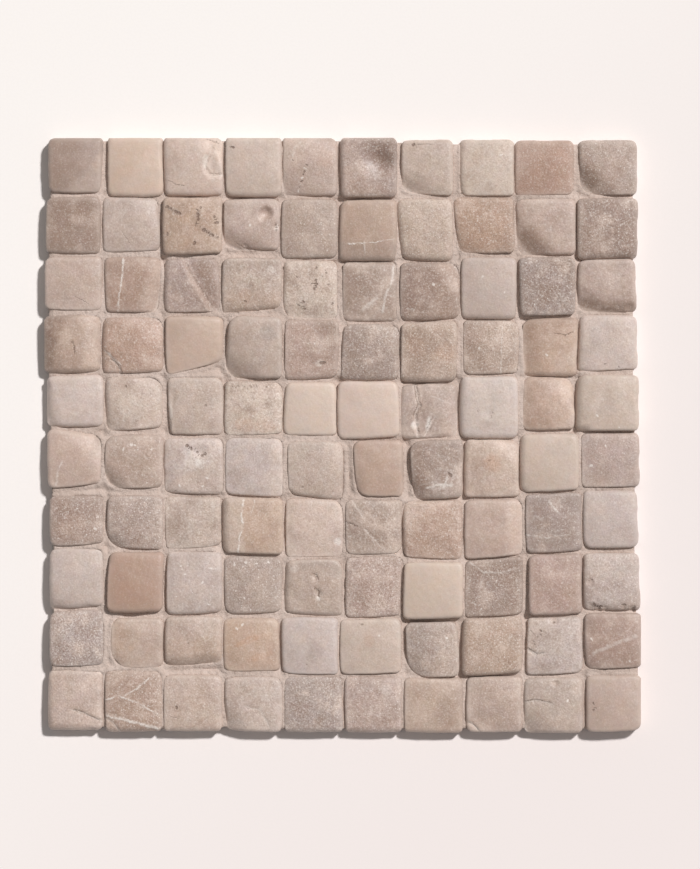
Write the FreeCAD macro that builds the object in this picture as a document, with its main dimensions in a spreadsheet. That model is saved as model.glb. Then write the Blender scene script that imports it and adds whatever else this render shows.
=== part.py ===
"""Tumbled-stone mosaic sheet, in millimetres.

A square sheet of tumbled stone cubes, ten by ten, set on a glass-fibre net and grouted.
The origin is the centre of the sheet on its back, +Z out of the face, +Y to the top row.
"""
import FreeCAD, Part
import math
import os
from collections import namedtuple
from FreeCAD import Vector

doc = FreeCAD.newDocument("mosaic_sheet")
sizes = doc.addObject("Spreadsheet::Sheet", "sizes")

DRIVING_SIZES = (
    ("pitch", 30.0, "centre to centre of neighbouring stones"),
    ("side_step", 0.5, "step in which a stone's sides stand in from its place"),
    ("corner_step", 0.5, "step of the radius worn on a standing corner"),
    ("corner_flat", 2.5, "longest flat that a worn corner is cut into"),
    ("stone_height", 9.5, "height of an ordinary stone"),
    ("rise_step", 0.5, "step in which a stone stands higher or lower"),
    ("lean_fall", 1.6, "fall of a leaning top across one pitch"),
    ("rim_width", 0.7, "width of the worn rim round the top"),
    ("rim_depth", 1.1, "depth of the worn rim"),
    ("crown_width", 2.4, "width of the slope between the rim and the top"),
    ("crown_depth", 0.45, "depth of that slope"),
    ("grout_height", 6.5, "grout from the net to its top in the joints"),
    ("edge_recess", 1.5, "grout behind the outer sides of the edge stones"),
    ("net_thickness", 0.5, "backing net"),
    ("net_inset", 3.0, "net behind the edge of the ten by ten grid"),
)
for line, (name, value, meaning) in enumerate(DRIVING_SIZES, start=1):
    sizes.set(f"A{line}", str(value))
    sizes.setAlias(f"A{line}", name)
    sizes.set(f"B{line}", meaning)
doc.recompute()
size = {name: float(sizes.get(name)) for name, _, _ in DRIVING_SIZES}

# One stone of the sheet. Each side is given at its two ends, in side steps in from the edge
# of the stone's square place, and below nought where it stands past it: W and E from north to
# south, N and S from west to east. The corners are in corner steps, from the north-west round
# by north-east and south-east. A stone with a lean has its top falling that way.
Stone = namedtuple("Stone", "tone W E N S corners rise lean", defaults=(0, ""))

# The rows run from the top of the sheet down, and each from the left.
ROWS = (
    (
        Stone("taupe", W=(5, 6), E=(1, 4), N=(2, 1), S=(4, 4), corners=(5, 4, 4, 5)),
        Stone("honey", W=(5, 5), E=(1, 1), N=(1, 1), S=(1, 2), corners=(3, 3, 4, 4)),
        Stone("blush", W=(1, 3), E=(1, 1), N=(1, 2), S=(1, 1), corners=(4, 7, 3, 3)),
        Stone("greige", W=(2, 3), E=(2, 3), N=(1, 1), S=(2, 1), corners=(4, 4, 4, 3), rise=1),
        Stone("blush", W=(1, 1), E=(6, 7), N=(1, 2), S=(1, 1), corners=(3, 9, 4, 4)),
        Stone("mauve", W=(-1, 0), E=(7, 7), N=(2, 2), S=(0, 0), corners=(4, 4, 4, 3), rise=3),
        Stone("greige", W=(0, 0), E=(11, 11), N=(5, 4), S=(4, 1), corners=(3, 4, 3, 8), lean="SW"),
        Stone("cream", W=(-2, -2), E=(9, 9), N=(4, 4), S=(1, 1), corners=(3, 5, 3, 5)),
        Stone("rose", W=(-7, -7), E=(10, 11), N=(5, 5), S=(1, 2), corners=(4, 4, 4, 3)),
        Stone("taupe", W=(-5, -4), E=(6, 7), N=(5, 4), S=(2, 2), corners=(4, 5, 3, 14), lean="SW"),
    ),
    (
        Stone("taupe", W=(4, 3), E=(4, 4), N=(2, 1), S=(3, 2), corners=(5, 4, 3, 3)),
        Stone("pale", W=(1, 1), E=(6, 4), N=(1, 3), S=(4, 6), corners=(3, 7, 3, 3), rise=-1),
        Stone("gold", W=(1, 1), E=(1, 2), N=(2, 1), S=(0, 2), corners=(3, 3, 3, 3), rise=3),
        Stone("mauve", W=(1, 1), E=(4, 5), N=(4, 3), S=(7, 5), corners=(3, 5, 4, 8), lean="S"),
        Stone("greige", W=(1, 0), E=(7, 7), N=(4, 4), S=(-2, -1), corners=(3, 4, 4, 4), rise=1),
        Stone("tan", W=(0, -2), E=(7, 8), N=(5, 4), S=(-4, -4), corners=(4, 4, 4, 3), rise=2),
        Stone("tan", W=(-5, 1), E=(12, 11), N=(4, 4), S=(-2, -4), corners=(4, 4, 5, 5), rise=1),
        Stone("tan", W=(-8, -2), E=(11, 9), N=(3, 1), S=(2, 2), corners=(3, 4, 4, 8), rise=1),
        Stone("mauve", W=(-6, -5), E=(8, 8), N=(4, 3), S=(1, 2), corners=(4, 5, 3, 9), lean="SW"),
        Stone("slate", W=(-5, -5), E=(6, 7), N=(3, 3), S=(-2, 0), corners=(3, 3, 3, 5), rise=3),
    ),
    (
        Stone("blush", W=(2, 2), E=(2, 3), N=(2, 1), S=(7, 6), corners=(5, 3, 3, 4)),
        Stone("rose", W=(2, 4), E=(3, 6), N=(2, 2), S=(5, 5), corners=(3, 5, 4, 3)),
        Stone("mauve", W=(3, 2), E=(6, 4), N=(4, 2), S=(3, 4), corners=(4, 7, 4, 4)),
        Stone("greige", W=(1, 0), E=(2, 4), N=(3, 3), S=(2, 7), corners=(4, 4, 4, 3), lean="S"),
        Stone("cream", W=(1, 1), E=(7, 7), N=(5, 5), S=(-2, -2), corners=(4, 5, 3, 13)),
        Stone("greige", W=(0, 0), E=(7, 7), N=(7, 6), S=(-5, -5), corners=(4, 5, 4, 4)),
        Stone("mauve", W=(-2, -2), E=(5, 5), N=(7, 8), S=(-3, 0), corners=(4, 7, 5, 4), rise=1),
        Stone("pale", W=(-1, -1), E=(7, 8), N=(2, 2), S=(-2, -2), corners=(3, 4, 4, 3), rise=1),
        Stone("slate", W=(-4, -2), E=(9, 9), N=(2, 2), S=(0, 1), corners=(3, 3, 3, 4), rise=3),
        Stone("blush", W=(-4, -5), E=(9, 7), N=(5, 3), S=(5, 5), corners=(4, 5, 4, 8), lean="S"),
    ),
    (
        Stone("tan", W=(1, 1), E=(4, 4), N=(0, 0), S=(3, 6), corners=(5, 4, 4, 6), rise=1, lean="W"),
        Stone("rose", W=(1, 0), E=(1, 1), N=(2, 2), S=(2, 4), corners=(5, 9, 4, 3), rise=1),
        Stone("honey", W=(2, 3), E=(1, 2), N=(1, 1), S=(1, 15), corners=(3, 4, 6, 3), lean="SE"),
        Stone("greige", W=(6, 1), E=(2, 2), N=(1, 2), S=(-1, -1), corners=(9, 4, 3, 12), rise=3),
        Stone("rose", W=(2, 1), E=(5, 7), N=(4, 5), S=(-3, 0), corners=(3, 4, 5, 3), rise=1),
        Stone("taupe", W=(0, -3), E=(4, 6), N=(9, 9), S=(-3, -3), corners=(7, 9, 3, 3), rise=1),
        Stone("tan", W=(-1, -2), E=(7, 8), N=(8, 5), S=(-4, -3), corners=(3, 4, 4, 3), rise=3),
        Stone("tan", W=(1, 1), E=(4, 6), N=(4, 6), S=(1, 3), corners=(4, 9, 3, 4)),
        Stone("honey", W=(0, 1), E=(4, 7), N=(4, 2), S=(1, 2), corners=(8, 5, 3, 5), lean="W"),
        Stone("pale", W=(-2, -5), E=(7, 6), N=(0, 0), S=(3, 6), corners=(4, 5, 4, 3)),
    ),
    (
        Stone("pale", W=(4, 4), E=(1, 1), N=(1, -1), S=(10, 10), corners=(4, 4, 4, 4), rise=-1),
        Stone("greige", W=(3, 4), E=(2, 2), N=(1, 2), S=(4, 8), corners=(5, 11, 5, 6)),
        Stone("greige", W=(6, 9), E=(1, 1), N=(2, 2), S=(2, 2), corners=(3, 8, 3, 3)),
        Stone("cream", W=(3, 2), E=(2, 1), N=(5, 7), S=(1, 3), corners=(3, 7, 4, 4)),
        Stone("cream", W=(4, 1), E=(8, 7), N=(7, 7), S=(1, 1), corners=(5, 5, 3, 5)),
        Stone("blush", W=(-4, -4), E=(6, 4), N=(6, 6), S=(-3, 0), corners=(4, 5, 4, 4), rise=1),
        Stone("mauve", W=(0, 0), E=(7, 7), N=(10, 8), S=(-3, 0), corners=(3, 4, 4, 4), rise=-1),
        Stone("pale", W=(-1, -2), E=(6, 6), N=(1, 1), S=(-1, -1), corners=(4, 4, 4, 5), rise=1),
        Stone("tan", W=(2, 0), E=(11, 9), N=(1, 3), S=(5, 7), corners=(5, 11, 3, 5)),
        Stone("greige", W=(-4, -6), E=(5, 5), N=(0, 0), S=(5, 5), corners=(5, 3, 4, 4), rise=3),
    ),
    (
        Stone("blush", W=(4, 5), E=(2, 4), N=(-7, 0), S=(6, 12), corners=(5, 10, 3, 6)),
        Stone("blush", W=(3, 2), E=(1, 2), N=(1, -1), S=(8, 9), corners=(8, 3, 4, 15), lean="SW"),
        Stone("pale", W=(2, 2), E=(1, 1), N=(3, 3), S=(3, 1), corners=(4, 4, 4, 4)),
        Stone("pale", W=(3, 3), E=(1, 1), N=(2, 3), S=(3, 0), corners=(5, 6, 3, 4)),
        Stone("greige", W=(5, 6), E=(1, 1), N=(6, 6), S=(4, -3), corners=(4, 8, 4, 6)),
        Stone("tan", W=(10, 14), E=(1, 1), N=(5, 5), S=(-2, -2), corners=(7, 4, 4, 12), lean="W"),
        Stone("taupe", W=(7, 11), E=(1, 2), N=(6, 4), S=(-3, 0), corners=(9, 3, 3, 8), rise=1, lean="W"),
        Stone("tan", W=(3, 2), E=(5, 4), N=(4, 5), S=(-2, -1), corners=(4, 8, 4, 4), rise=1),
        Stone("cream", W=(-1, -2), E=(5, 5), N=(-1, -2), S=(3, 6), corners=(4, 4, 3, 5), rise=1),
        Stone("mauve", W=(-1, -1), E=(5, 4), N=(-2, -3), S=(8, 9), corners=(3, 4, 4, 4)),
    ),
    (
        Stone("mauve", W=(7, 7), E=(1, 1), N=(1, 0), S=(10, 13), corners=(3, 3, 4, 6)),
        Stone("taupe", W=(4, 3), E=(1, 1), N=(1, 1), S=(8, 6), corners=(4, 3, 4, 16), lean="SW"),
        Stone("greige", W=(2, 3), E=(2, 2), N=(1, 1), S=(7, 10), corners=(3, 4, 8, 4), rise=-1),
        Stone("gold", W=(0, 1), E=(1, 1), N=(2, 3), S=(3, 1), corners=(4, 4, 4, 5), rise=3),
        Stone("blush", W=(3, 3), E=(1, 1), N=(3, 5), S=(-1, 0), corners=(4, 11, 4, 3), rise=-1),
        Stone("greige", W=(3, 3), E=(1, 2), N=(4, 4), S=(2, 3), corners=(4, 4, 9, 5)),
        Stone("terracotta", W=(1, 1), E=(2, 2), N=(6, 5), S=(-1, -3), corners=(5, 4, 4, 5), rise=1),
        Stone("blush", W=(2, 2), E=(1, 1), N=(5, 3), S=(-3, 2), corners=(4, 9, 4, 3), rise=1),
        Stone("slate", W=(3, 4), E=(1, 1), N=(-1, -3), S=(3, 6), corners=(3, 4, 4, 4)),
        Stone("pale", W=(1, 1), E=(7, 5), N=(-5, -5), S=(8, 9), corners=(3, 5, 6, 7)),
    ),
    (
        Stone("pale", W=(7, 7), E=(1, 0), N=(-7, -6), S=(6, 11), corners=(7, 4, 3, 4)),
        Stone("terracotta", W=(7, 4), E=(0, 1), N=(-3, -3), S=(2, 3), corners=(4, 3, 7, 5), rise=4),
        Stone("pale", W=(3, 2), E=(2, 2), N=(-4, -4), S=(1, 4), corners=(4, 4, 5, 5), rise=1),
        Stone("taupe", W=(1, 2), E=(1, 2), N=(1, 1), S=(2, 4), corners=(4, 3, 8, 8)),
        Stone("greige", W=(2, 1), E=(2, 1), N=(5, 4), S=(3, 0), corners=(6, 9, 4, 4)),
        Stone("rose", W=(2, 1), E=(1, 3), N=(2, 1), S=(-2, 1), corners=(3, 4, 4, 4)),
        Stone("cream", W=(1, -1), E=(1, 1), N=(7, 7), S=(-5, -3), corners=(3, 3, 4, 4), rise=4),
        Stone("slate", W=(3, 2), E=(1, 1), N=(5, 1), S=(-1, 3), corners=(5, 3, 4, 3)),
        Stone("rose", W=(4, 4), E=(1, 1), N=(0, -2), S=(0, 2), corners=(5, 4, 4, 4), rise=2),
        Stone("pale", W=(1, 1), E=(5, 3), N=(-2, -2), S=(5, 5), corners=(3, 4, 4, 3), rise=1),
    ),
    (
        Stone("slate", W=(7, 7), E=(1, 1), N=(-3, -6), S=(10, 11), corners=(6, 3, 3, 4)),
        Stone("honey", W=(9, 8), E=(1, 1), N=(3, 3), S=(9, 9), corners=(8, 4, 5, 18), rise=-1, lean="SW"),
        Stone("tan", W=(3, 2), E=(1, 1), N=(1, 1), S=(10, 14), corners=(4, 3, 3, 4), lean="S"),
        Stone("gold", W=(1, 1), E=(4, 3), N=(3, 3), S=(5, 6), corners=(4, 9, 3, 4)),
        Stone("pale", W=(-2, -1), E=(5, 5), N=(2, 2), S=(3, 2), corners=(4, 5, 3, 4), rise=1),
        Stone("cream", W=(-3, -3), E=(3, 3), N=(4, 2), S=(1, 3), corners=(3, 7, 3, 4), rise=1),
        Stone("slate", W=(3, 6), E=(7, 4), N=(7, 6), S=(-1, 0), corners=(5, 7, 5, 18), lean="W"),
        Stone("tan", W=(0, -2), E=(2, 2), N=(3, 1), S=(0, 4), corners=(4, 4, 4, 4), rise=3),
        Stone("pale", W=(4, 2), E=(1, 1), N=(2, 1), S=(1, 4), corners=(3, 4, 4, 3)),
        Stone("rose", W=(1, 3), E=(1, 2), N=(-2, -2), S=(7, 9), corners=(4, 5, 4, 4), rise=1),
    ),
    (
        Stone("blush", W=(6, 5), E=(1, 1), N=(-5, -4), S=(6, 6), corners=(3, 3, 5, 4)),
        Stone("terracotta", W=(1, 2), E=(2, 2), N=(-5, -4), S=(4, 5), corners=(4, 6, 3, 5), rise=1),
        Stone("tan", W=(1, 1), E=(2, 2), N=(0, 0), S=(5, 5), corners=(4, 5, 4, 3), rise=1),
        Stone("greige", W=(1, 3), E=(2, 2), N=(2, 2), S=(6, 4), corners=(4, 7, 4, 5), rise=1),
        Stone("slate", W=(2, 2), E=(1, 1), N=(1, 1), S=(4, 4), corners=(5, 5, 3, 3)),
        Stone("rose", W=(1, 2), E=(1, 2), N=(1, 2), S=(4, 4), corners=(4, 4, 3, 3)),
        Stone("honey", W=(1, 1), E=(1, 1), N=(3, 2), S=(4, 3), corners=(3, 4, 3, 3)),
        Stone("blush", W=(3, 2), E=(1, 1), N=(2, 1), S=(4, 4), corners=(4, 4, 4, 6)),
        Stone("greige", W=(1, 1), E=(1, 1), N=(3, 2), S=(3, 3), corners=(4, 4, 4, 5)),
        Stone("blush", W=(3, 3), E=(1, 2), N=(0, 0), S=(4, 6), corners=(4, 6, 6, 4), rise=1),
    ),
)
PER_SIDE = len(ROWS)
HALF_SHEET = PER_SIDE * size["pitch"] / 2
HEADINGS = {"": (0, 0), "W": (-1, 0), "S": (0, -1), "SW": (-1, -1), "SE": (1, -1)}
UP = Vector(0, 0, 1)


def place(row, column):
    """Centre of a stone's square place in the grid."""
    x = (column + 0.5) * size["pitch"] - HALF_SHEET
    y = HALF_SHEET - (row + 0.5) * size["pitch"]
    return Vector(x, y, 0)


def quadrilateral(row, column):
    """The stone's four sides as corners, from the north-west clockwise, before any wear."""
    stone = ROWS[row][column]
    centre = place(row, column)
    half = size["pitch"] / 2
    west = [-half + steps * size["side_step"] for steps in stone.W]
    east = [half - steps * size["side_step"] for steps in stone.E]
    north = [half - steps * size["side_step"] for steps in stone.N]
    south = [-half + steps * size["side_step"] for steps in stone.S]
    corners = ((west[0], north[0]), (east[0], north[1]), (east[1], south[1]), (west[1], south[0]))
    return [centre + Vector(x, y, 0) for x, y in corners]


def moved_in(corners, inset):
    """The same quadrilateral with every side moved in by the inset."""
    moved = []
    for here, corner in enumerate(corners):
        back = (corners[here - 1] - corner).normalize()
        ahead = (corners[(here + 1) % len(corners)] - corner).normalize()
        moved.append(corner + (back + ahead) * (inset / math.sin(back.getAngle(ahead))))
    return moved


def worn_outline(row, column, inset):
    """Points of the stone's plan, each corner cut in flats along the arc of its radius."""
    points = []
    corners = moved_in(quadrilateral(row, column), inset)
    for here, corner in enumerate(corners):
        back = (corners[here - 1] - corner).normalize()
        ahead = (corners[(here + 1) % len(corners)] - corner).normalize()
        radius = ROWS[row][column].corners[here] * size["corner_step"]
        opening = back.getAngle(ahead)
        centre = corner + (back + ahead).normalize() * (radius / math.sin(opening / 2))
        sweep = math.pi - opening
        flats = max(2, math.ceil(radius * sweep / size["corner_flat"]))
        start = corner + back * (radius / math.tan(opening / 2)) - centre
        for flat in range(flats + 1):
            turned = FreeCAD.Rotation(UP, math.degrees(-sweep * flat / flats)).multVec(start)
            points.append(centre + turned)
    return points


def raised(points, row, column, below_top):
    """The outline lifted to a depth below the stone's top, which may lean."""
    stone = ROWS[row][column]
    top = size["net_thickness"] + size["stone_height"] + stone.rise * size["rise_step"]
    heading = Vector(*HEADINGS[stone.lean], 0)
    fall = size["lean_fall"] / size["pitch"]
    middle = place(row, column)
    return [point + UP * (top - below_top - fall * heading.dot(point - middle)) for point in points]


def ring_faces(lower, upper):
    """Flat faces between two outlines with the same number of points."""
    faces = []
    for here in range(len(lower)):
        after = (here + 1) % len(lower)
        corners = (lower[here], lower[after], upper[after], upper[here], lower[here])
        faces.append(Part.Face(Part.makePolygon(corners)))
    return faces


def stone_solid(row, column):
    """One tumbled stone: straight sides, a steep worn rim, a shallow slope and the top."""
    slope = size["crown_depth"]
    rim = slope + size["rim_depth"]
    side = worn_outline(row, column, 0)
    foot = [point + UP * size["net_thickness"] for point in side]
    shoulder = raised(side, row, column, rim)
    inner = worn_outline(row, column, size["rim_width"])
    crown = raised(inner, row, column, slope)
    middle = worn_outline(row, column, size["rim_width"] + size["crown_width"])
    top = raised(middle, row, column, 0)
    faces = [Part.Face(Part.makePolygon(ring + ring[:1])) for ring in (foot, top)]
    for lower, upper in ((foot, shoulder), (shoulder, crown), (crown, top)):
        faces += ring_faces(lower, upper)
    return Part.Solid(Part.Shell(faces))


def edge_line(side_steps, outward, along):
    """Grout edge on one side: a point behind the middle of each edge stone's outer side."""
    points = []
    for here, steps in enumerate(side_steps):
        stands_in = sum(steps) / 2 * size["side_step"] + size["edge_recess"]
        distance = (here + 0.5) * size["pitch"] - HALF_SHEET
        points.append(outward * (HALF_SHEET - stands_in) + along * distance)
    return points


def grout_outline():
    """The grout's edge, clockwise from the north-west, one point for each edge stone."""
    north, east, south, west = Vector(0, 1, 0), Vector(1, 0, 0), Vector(0, -1, 0), Vector(-1, 0, 0)
    edge = edge_line([stone.N for stone in ROWS[0]], north, east)
    edge += edge_line([row[-1].E for row in ROWS], east, south)
    edge += edge_line([stone.S for stone in reversed(ROWS[-1])], south, west)
    edge += edge_line([row[0].W for row in reversed(ROWS)], west, north)
    return Part.makePolygon(edge + edge[:1])


# Stones, tumbled from sawn cubes of limestone and marble: one sub-part for each tone.
tones = list(dict.fromkeys(stone.tone for row in ROWS for stone in row))
stone_groups = []
for tone in tones:
    group = doc.addObject("Part::Feature", f"{tone}_stones")
    group.Label = f"{tone}_stones"
    group.Shape = Part.Compound(
        [
            stone_solid(row, column)
            for row in range(PER_SIDE)
            for column in range(PER_SIDE)
            if ROWS[row][column].tone == tone
        ]
    )
    group.Placement = FreeCAD.Placement()
    stone_groups.append(group)

all_stones = doc.addObject("Part::Compound", "all_stones")
all_stones.Links = stone_groups

# Grout, poured flush with the net and wiped down between the stones.
grout_plan = doc.addObject("Part::Feature", "grout_plan")
grout_plan.Shape = Part.Face(grout_outline())
grout_plan.setExpression("Placement.Base.z", "sizes.net_thickness")
grout_slab = doc.addObject("Part::Extrusion", "grout_slab")
grout_slab.Base = grout_plan
grout_slab.DirMode = "Custom"
grout_slab.Dir = UP
grout_slab.setExpression("LengthFwd", "sizes.grout_height")
grout_slab.Solid = True
grout = doc.addObject("Part::Cut", "grout")
grout.Label = "grout"
grout.Base = grout_slab
grout.Tool = all_stones

# Backing net, as one plain sheet of the net's own thickness.
net = doc.addObject("Part::Box", "backing_net")
net.Label = "backing_net"
net_side = f"{PER_SIDE} * sizes.pitch - 2 * sizes.net_inset"
net.setExpression("Length", net_side)
net.setExpression("Width", net_side)
net.setExpression("Height", "sizes.net_thickness")
net.setExpression("Placement.Base.x", f"-({net_side}) / 2")
net.setExpression("Placement.Base.y", f"-({net_side}) / 2")

doc.recompute()
for item in doc.Objects:
    if "Invalid" in item.State or "Error" in item.State:
        raise RuntimeError(f"{item.Label} did not recompute: {item.State}")

os.makedirs("parts", exist_ok=True)
for item in stone_groups + [grout, net]:
    if item.Shape.isNull() or not item.Shape.isValid():
        raise RuntimeError(f"{item.Label} has no valid shape")
    item.Shape.exportStep(f"parts/{item.Label}.step")
    solids = len(item.Shape.Solids)
    print(f"{item.Label}: {solids} solids, {item.Shape.Volume / 1000:.2f} cm3")
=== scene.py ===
import math
import random
from collections import namedtuple

import bmesh
import bpy
import numpy as np
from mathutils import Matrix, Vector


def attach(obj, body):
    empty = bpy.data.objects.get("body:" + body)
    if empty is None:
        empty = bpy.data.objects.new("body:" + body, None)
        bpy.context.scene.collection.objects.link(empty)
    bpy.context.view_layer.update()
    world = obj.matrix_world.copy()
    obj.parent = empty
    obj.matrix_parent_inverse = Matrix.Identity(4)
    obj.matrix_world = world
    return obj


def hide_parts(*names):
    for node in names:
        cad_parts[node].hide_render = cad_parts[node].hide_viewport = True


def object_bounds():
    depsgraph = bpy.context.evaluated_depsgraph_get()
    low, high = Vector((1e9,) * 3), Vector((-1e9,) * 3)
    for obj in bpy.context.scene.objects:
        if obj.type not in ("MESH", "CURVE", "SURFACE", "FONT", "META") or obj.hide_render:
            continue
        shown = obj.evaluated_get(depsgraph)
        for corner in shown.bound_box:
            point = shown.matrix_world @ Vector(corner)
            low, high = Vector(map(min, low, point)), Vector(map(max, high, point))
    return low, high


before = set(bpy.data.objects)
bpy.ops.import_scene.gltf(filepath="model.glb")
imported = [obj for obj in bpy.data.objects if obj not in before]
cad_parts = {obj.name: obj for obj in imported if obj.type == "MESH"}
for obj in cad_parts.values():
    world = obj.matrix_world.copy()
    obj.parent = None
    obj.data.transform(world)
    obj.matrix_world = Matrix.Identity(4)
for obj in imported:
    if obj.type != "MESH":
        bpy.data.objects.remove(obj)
cad_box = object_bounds()
scene = bpy.context.scene
MM = 0.001


# Backing net
# An open glass fibre net, 291 mm square, with strands 5 mm apart that pass over and under each other.
# It is woven, dressed stiff with white resin, and the backs of the stones are glued to it.

NET = {
    "Pitch": 5 * MM,
    "Length": 291 * MM,
    "Strand width": 0.8 * MM,
    "Strand height": 0.22 * MM,
    "Weave depth": 0.12 * MM,
    "Middle": 0.25 * MM,
    "Strands": 59,
}


def linear(red, green, blue):
    """A colour as it is mixed by eye, 0 to 255, turned into the light that a surface gives back."""
    steps = [level / 255 for level in (red, green, blue)]
    return [s / 12.92 if s <= 0.04045 else ((s + 0.055) / 1.055) ** 2.4 for s in steps] + [1.0]


class Layer:
    """One socket of a finish or of a node tree. Sums and products of layers add Math nodes."""

    def __init__(self, tree, socket=None):
        self.tree = tree
        self.socket = socket

    def node(self, kind, settings, values, output=0):
        """A new node of a kind, with its settings and the values or links of its sockets."""
        made = self.tree.nodes.new(kind)
        for name, setting in settings.items():
            setattr(made, name, setting)
        for key, value in values.items():
            if isinstance(value, Layer):
                self.tree.links.new(value.socket, made.inputs[key])
            else:
                made.inputs[key].default_value = value
        return Layer(self.tree, made.outputs[output] if made.outputs else None)

    def outputs(self):
        """Every output of the node that this layer comes from."""
        return [Layer(self.tree, socket) for socket in self.socket.node.outputs]

    def parts(self):
        """The three numbers of a place, direction or colour."""
        return self.node("ShaderNodeSeparateXYZ", {}, {0: self}).outputs()

    def sum_node(self, operation, first, second=0.0):
        return self.node("ShaderNodeMath", {"operation": operation}, {0: first, 1: second})

    def __add__(self, other):
        return self.sum_node("ADD", self, other)

    def __radd__(self, other):
        return self.sum_node("ADD", other, self)

    def __sub__(self, other):
        return self.sum_node("SUBTRACT", self, other)

    def __rsub__(self, other):
        return self.sum_node("SUBTRACT", other, self)

    def __mul__(self, other):
        return self.sum_node("MULTIPLY", self, other)

    def __rmul__(self, other):
        return self.sum_node("MULTIPLY", other, self)

    def __truediv__(self, other):
        return self.sum_node("DIVIDE", self, other)

    def __rtruediv__(self, other):
        return self.sum_node("DIVIDE", other, self)

    def __pow__(self, other):
        return self.sum_node("POWER", self, other)

    def __abs__(self):
        return self.sum_node("ABSOLUTE", self)

    def clear_of(self, start, end):
        """0 up to start, 1 from end on, with a soft step between them."""
        settings = {"interpolation_type": "SMOOTHSTEP", "clamp": True}
        return self.node("ShaderNodeMapRange", settings, {0: self, 1: start, 2: end})

    def blend(self, first, second):
        """One colour where this layer is 0 and another where it is 1."""
        return self.node("ShaderNodeMix", {"data_type": "RGBA"}, {0: self, 6: first, 7: second}, 2)

    def tinted(self, amount, colour):
        """This colour with an amount of another one over it."""
        return amount.blend(self, colour)

    def glazed(self, glaze):
        """This colour multiplied by another one."""
        settings = {"data_type": "RGBA", "blend_type": "MULTIPLY"}
        return self.node("ShaderNodeMix", settings, {0: 1.0, 6: self, 7: glaze}, 2)


def new_finish(name):
    """A material with an empty tree, the layer that adds its nodes, and the place on the object."""
    material = bpy.data.materials.new(name)
    material.use_nodes = True
    material.node_tree.nodes.clear()
    layer = Layer(material.node_tree)
    return material, layer, layer.node("ShaderNodeTexCoord", {}, {}, 3)


def close_finish(layer, colour, roughness, height, sheen_level):
    """Ends a finish: colour, roughness and relief go to one shader."""
    normal = layer.node("ShaderNodeBump", {}, {"Strength": 1.0, "Distance": 1.0, "Height": height})
    shader = layer.node("ShaderNodeBsdfPrincipled", {}, {
        "Base Color": colour, "Roughness": roughness, "Normal": normal, "Specular IOR Level": sheen_level,
    })
    layer.node("ShaderNodeOutputMaterial", {}, {"Surface": shader})


def woven_glass():
    """White dressed glass yarn: fine filaments in each strand, a little yellow where resin is thick."""
    material, layer, place = new_finish("woven_glass")
    yarn = layer.node("ShaderNodeTexNoise", {}, {"Vector": place, "Scale": 5200.0, "Detail": 2.0})
    resin = layer.node("ShaderNodeTexNoise", {}, {"Vector": place, "Scale": 180.0, "Detail": 3.0})
    tint = resin.clear_of(0.4, 0.7).blend(linear(232, 230, 224), linear(214, 206, 190))
    tint = tint.tinted(yarn.clear_of(0.5, 0.8) * 0.35, linear(190, 186, 178))
    close_finish(layer, tint, 0.38 + 0.25 * yarn, yarn * 0.00004, 0.4)
    return material


def tree_with(name, sizes):
    """A node tree for shaping a mesh, with a named input for each size, and those inputs by name."""
    tree = bpy.data.node_groups.new(name, "GeometryNodeTree")
    for way in ("INPUT", "OUTPUT"):
        tree.interface.new_socket("Geometry", in_out=way, socket_type="NodeSocketGeometry")
    for label, size in sizes.items():
        kind = "NodeSocketInt" if isinstance(size, int) else "NodeSocketFloat"
        tree.interface.new_socket(label, in_out="INPUT", socket_type=kind)
    given = tree.nodes.new("NodeGroupInput")
    return tree, {socket.name: Layer(tree, socket) for socket in given.outputs if socket.name}


def close_tree(layer, geometry, material):
    """Ends a node tree: no instances are left, and every face has the material."""
    whole = layer.node("GeometryNodeRealizeInstances", {}, {"Geometry": geometry})
    whole = layer.node("GeometryNodeSetMaterial", {}, {"Geometry": whole, "Material": material})
    layer.node("NodeGroupOutput", {}, {0: whole})


def shaped(piece, tree, sizes):
    """Runs the tree on the piece with the given sizes, and keeps its result as the piece's plain mesh."""
    step = piece.modifiers.new(tree.name, "NODES")
    step.node_group = tree
    for socket in tree.interface.items_tree:
        if socket.name in sizes:
            step[socket.identifier] = sizes[socket.name]
    bpy.context.view_layer.update()
    graph = bpy.context.evaluated_depsgraph_get()
    result = bpy.data.meshes.new_from_object(piece.evaluated_get(graph), preserve_all_data_layers=True,
                                             depsgraph=graph)
    piece.modifiers.clear()
    piece.data = result
    return piece


def new_piece(name, data):
    """An object in the scene with this mesh, lamp or camera."""
    piece = bpy.data.objects.new(name, data)
    scene.collection.objects.link(piece)
    return piece


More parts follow.
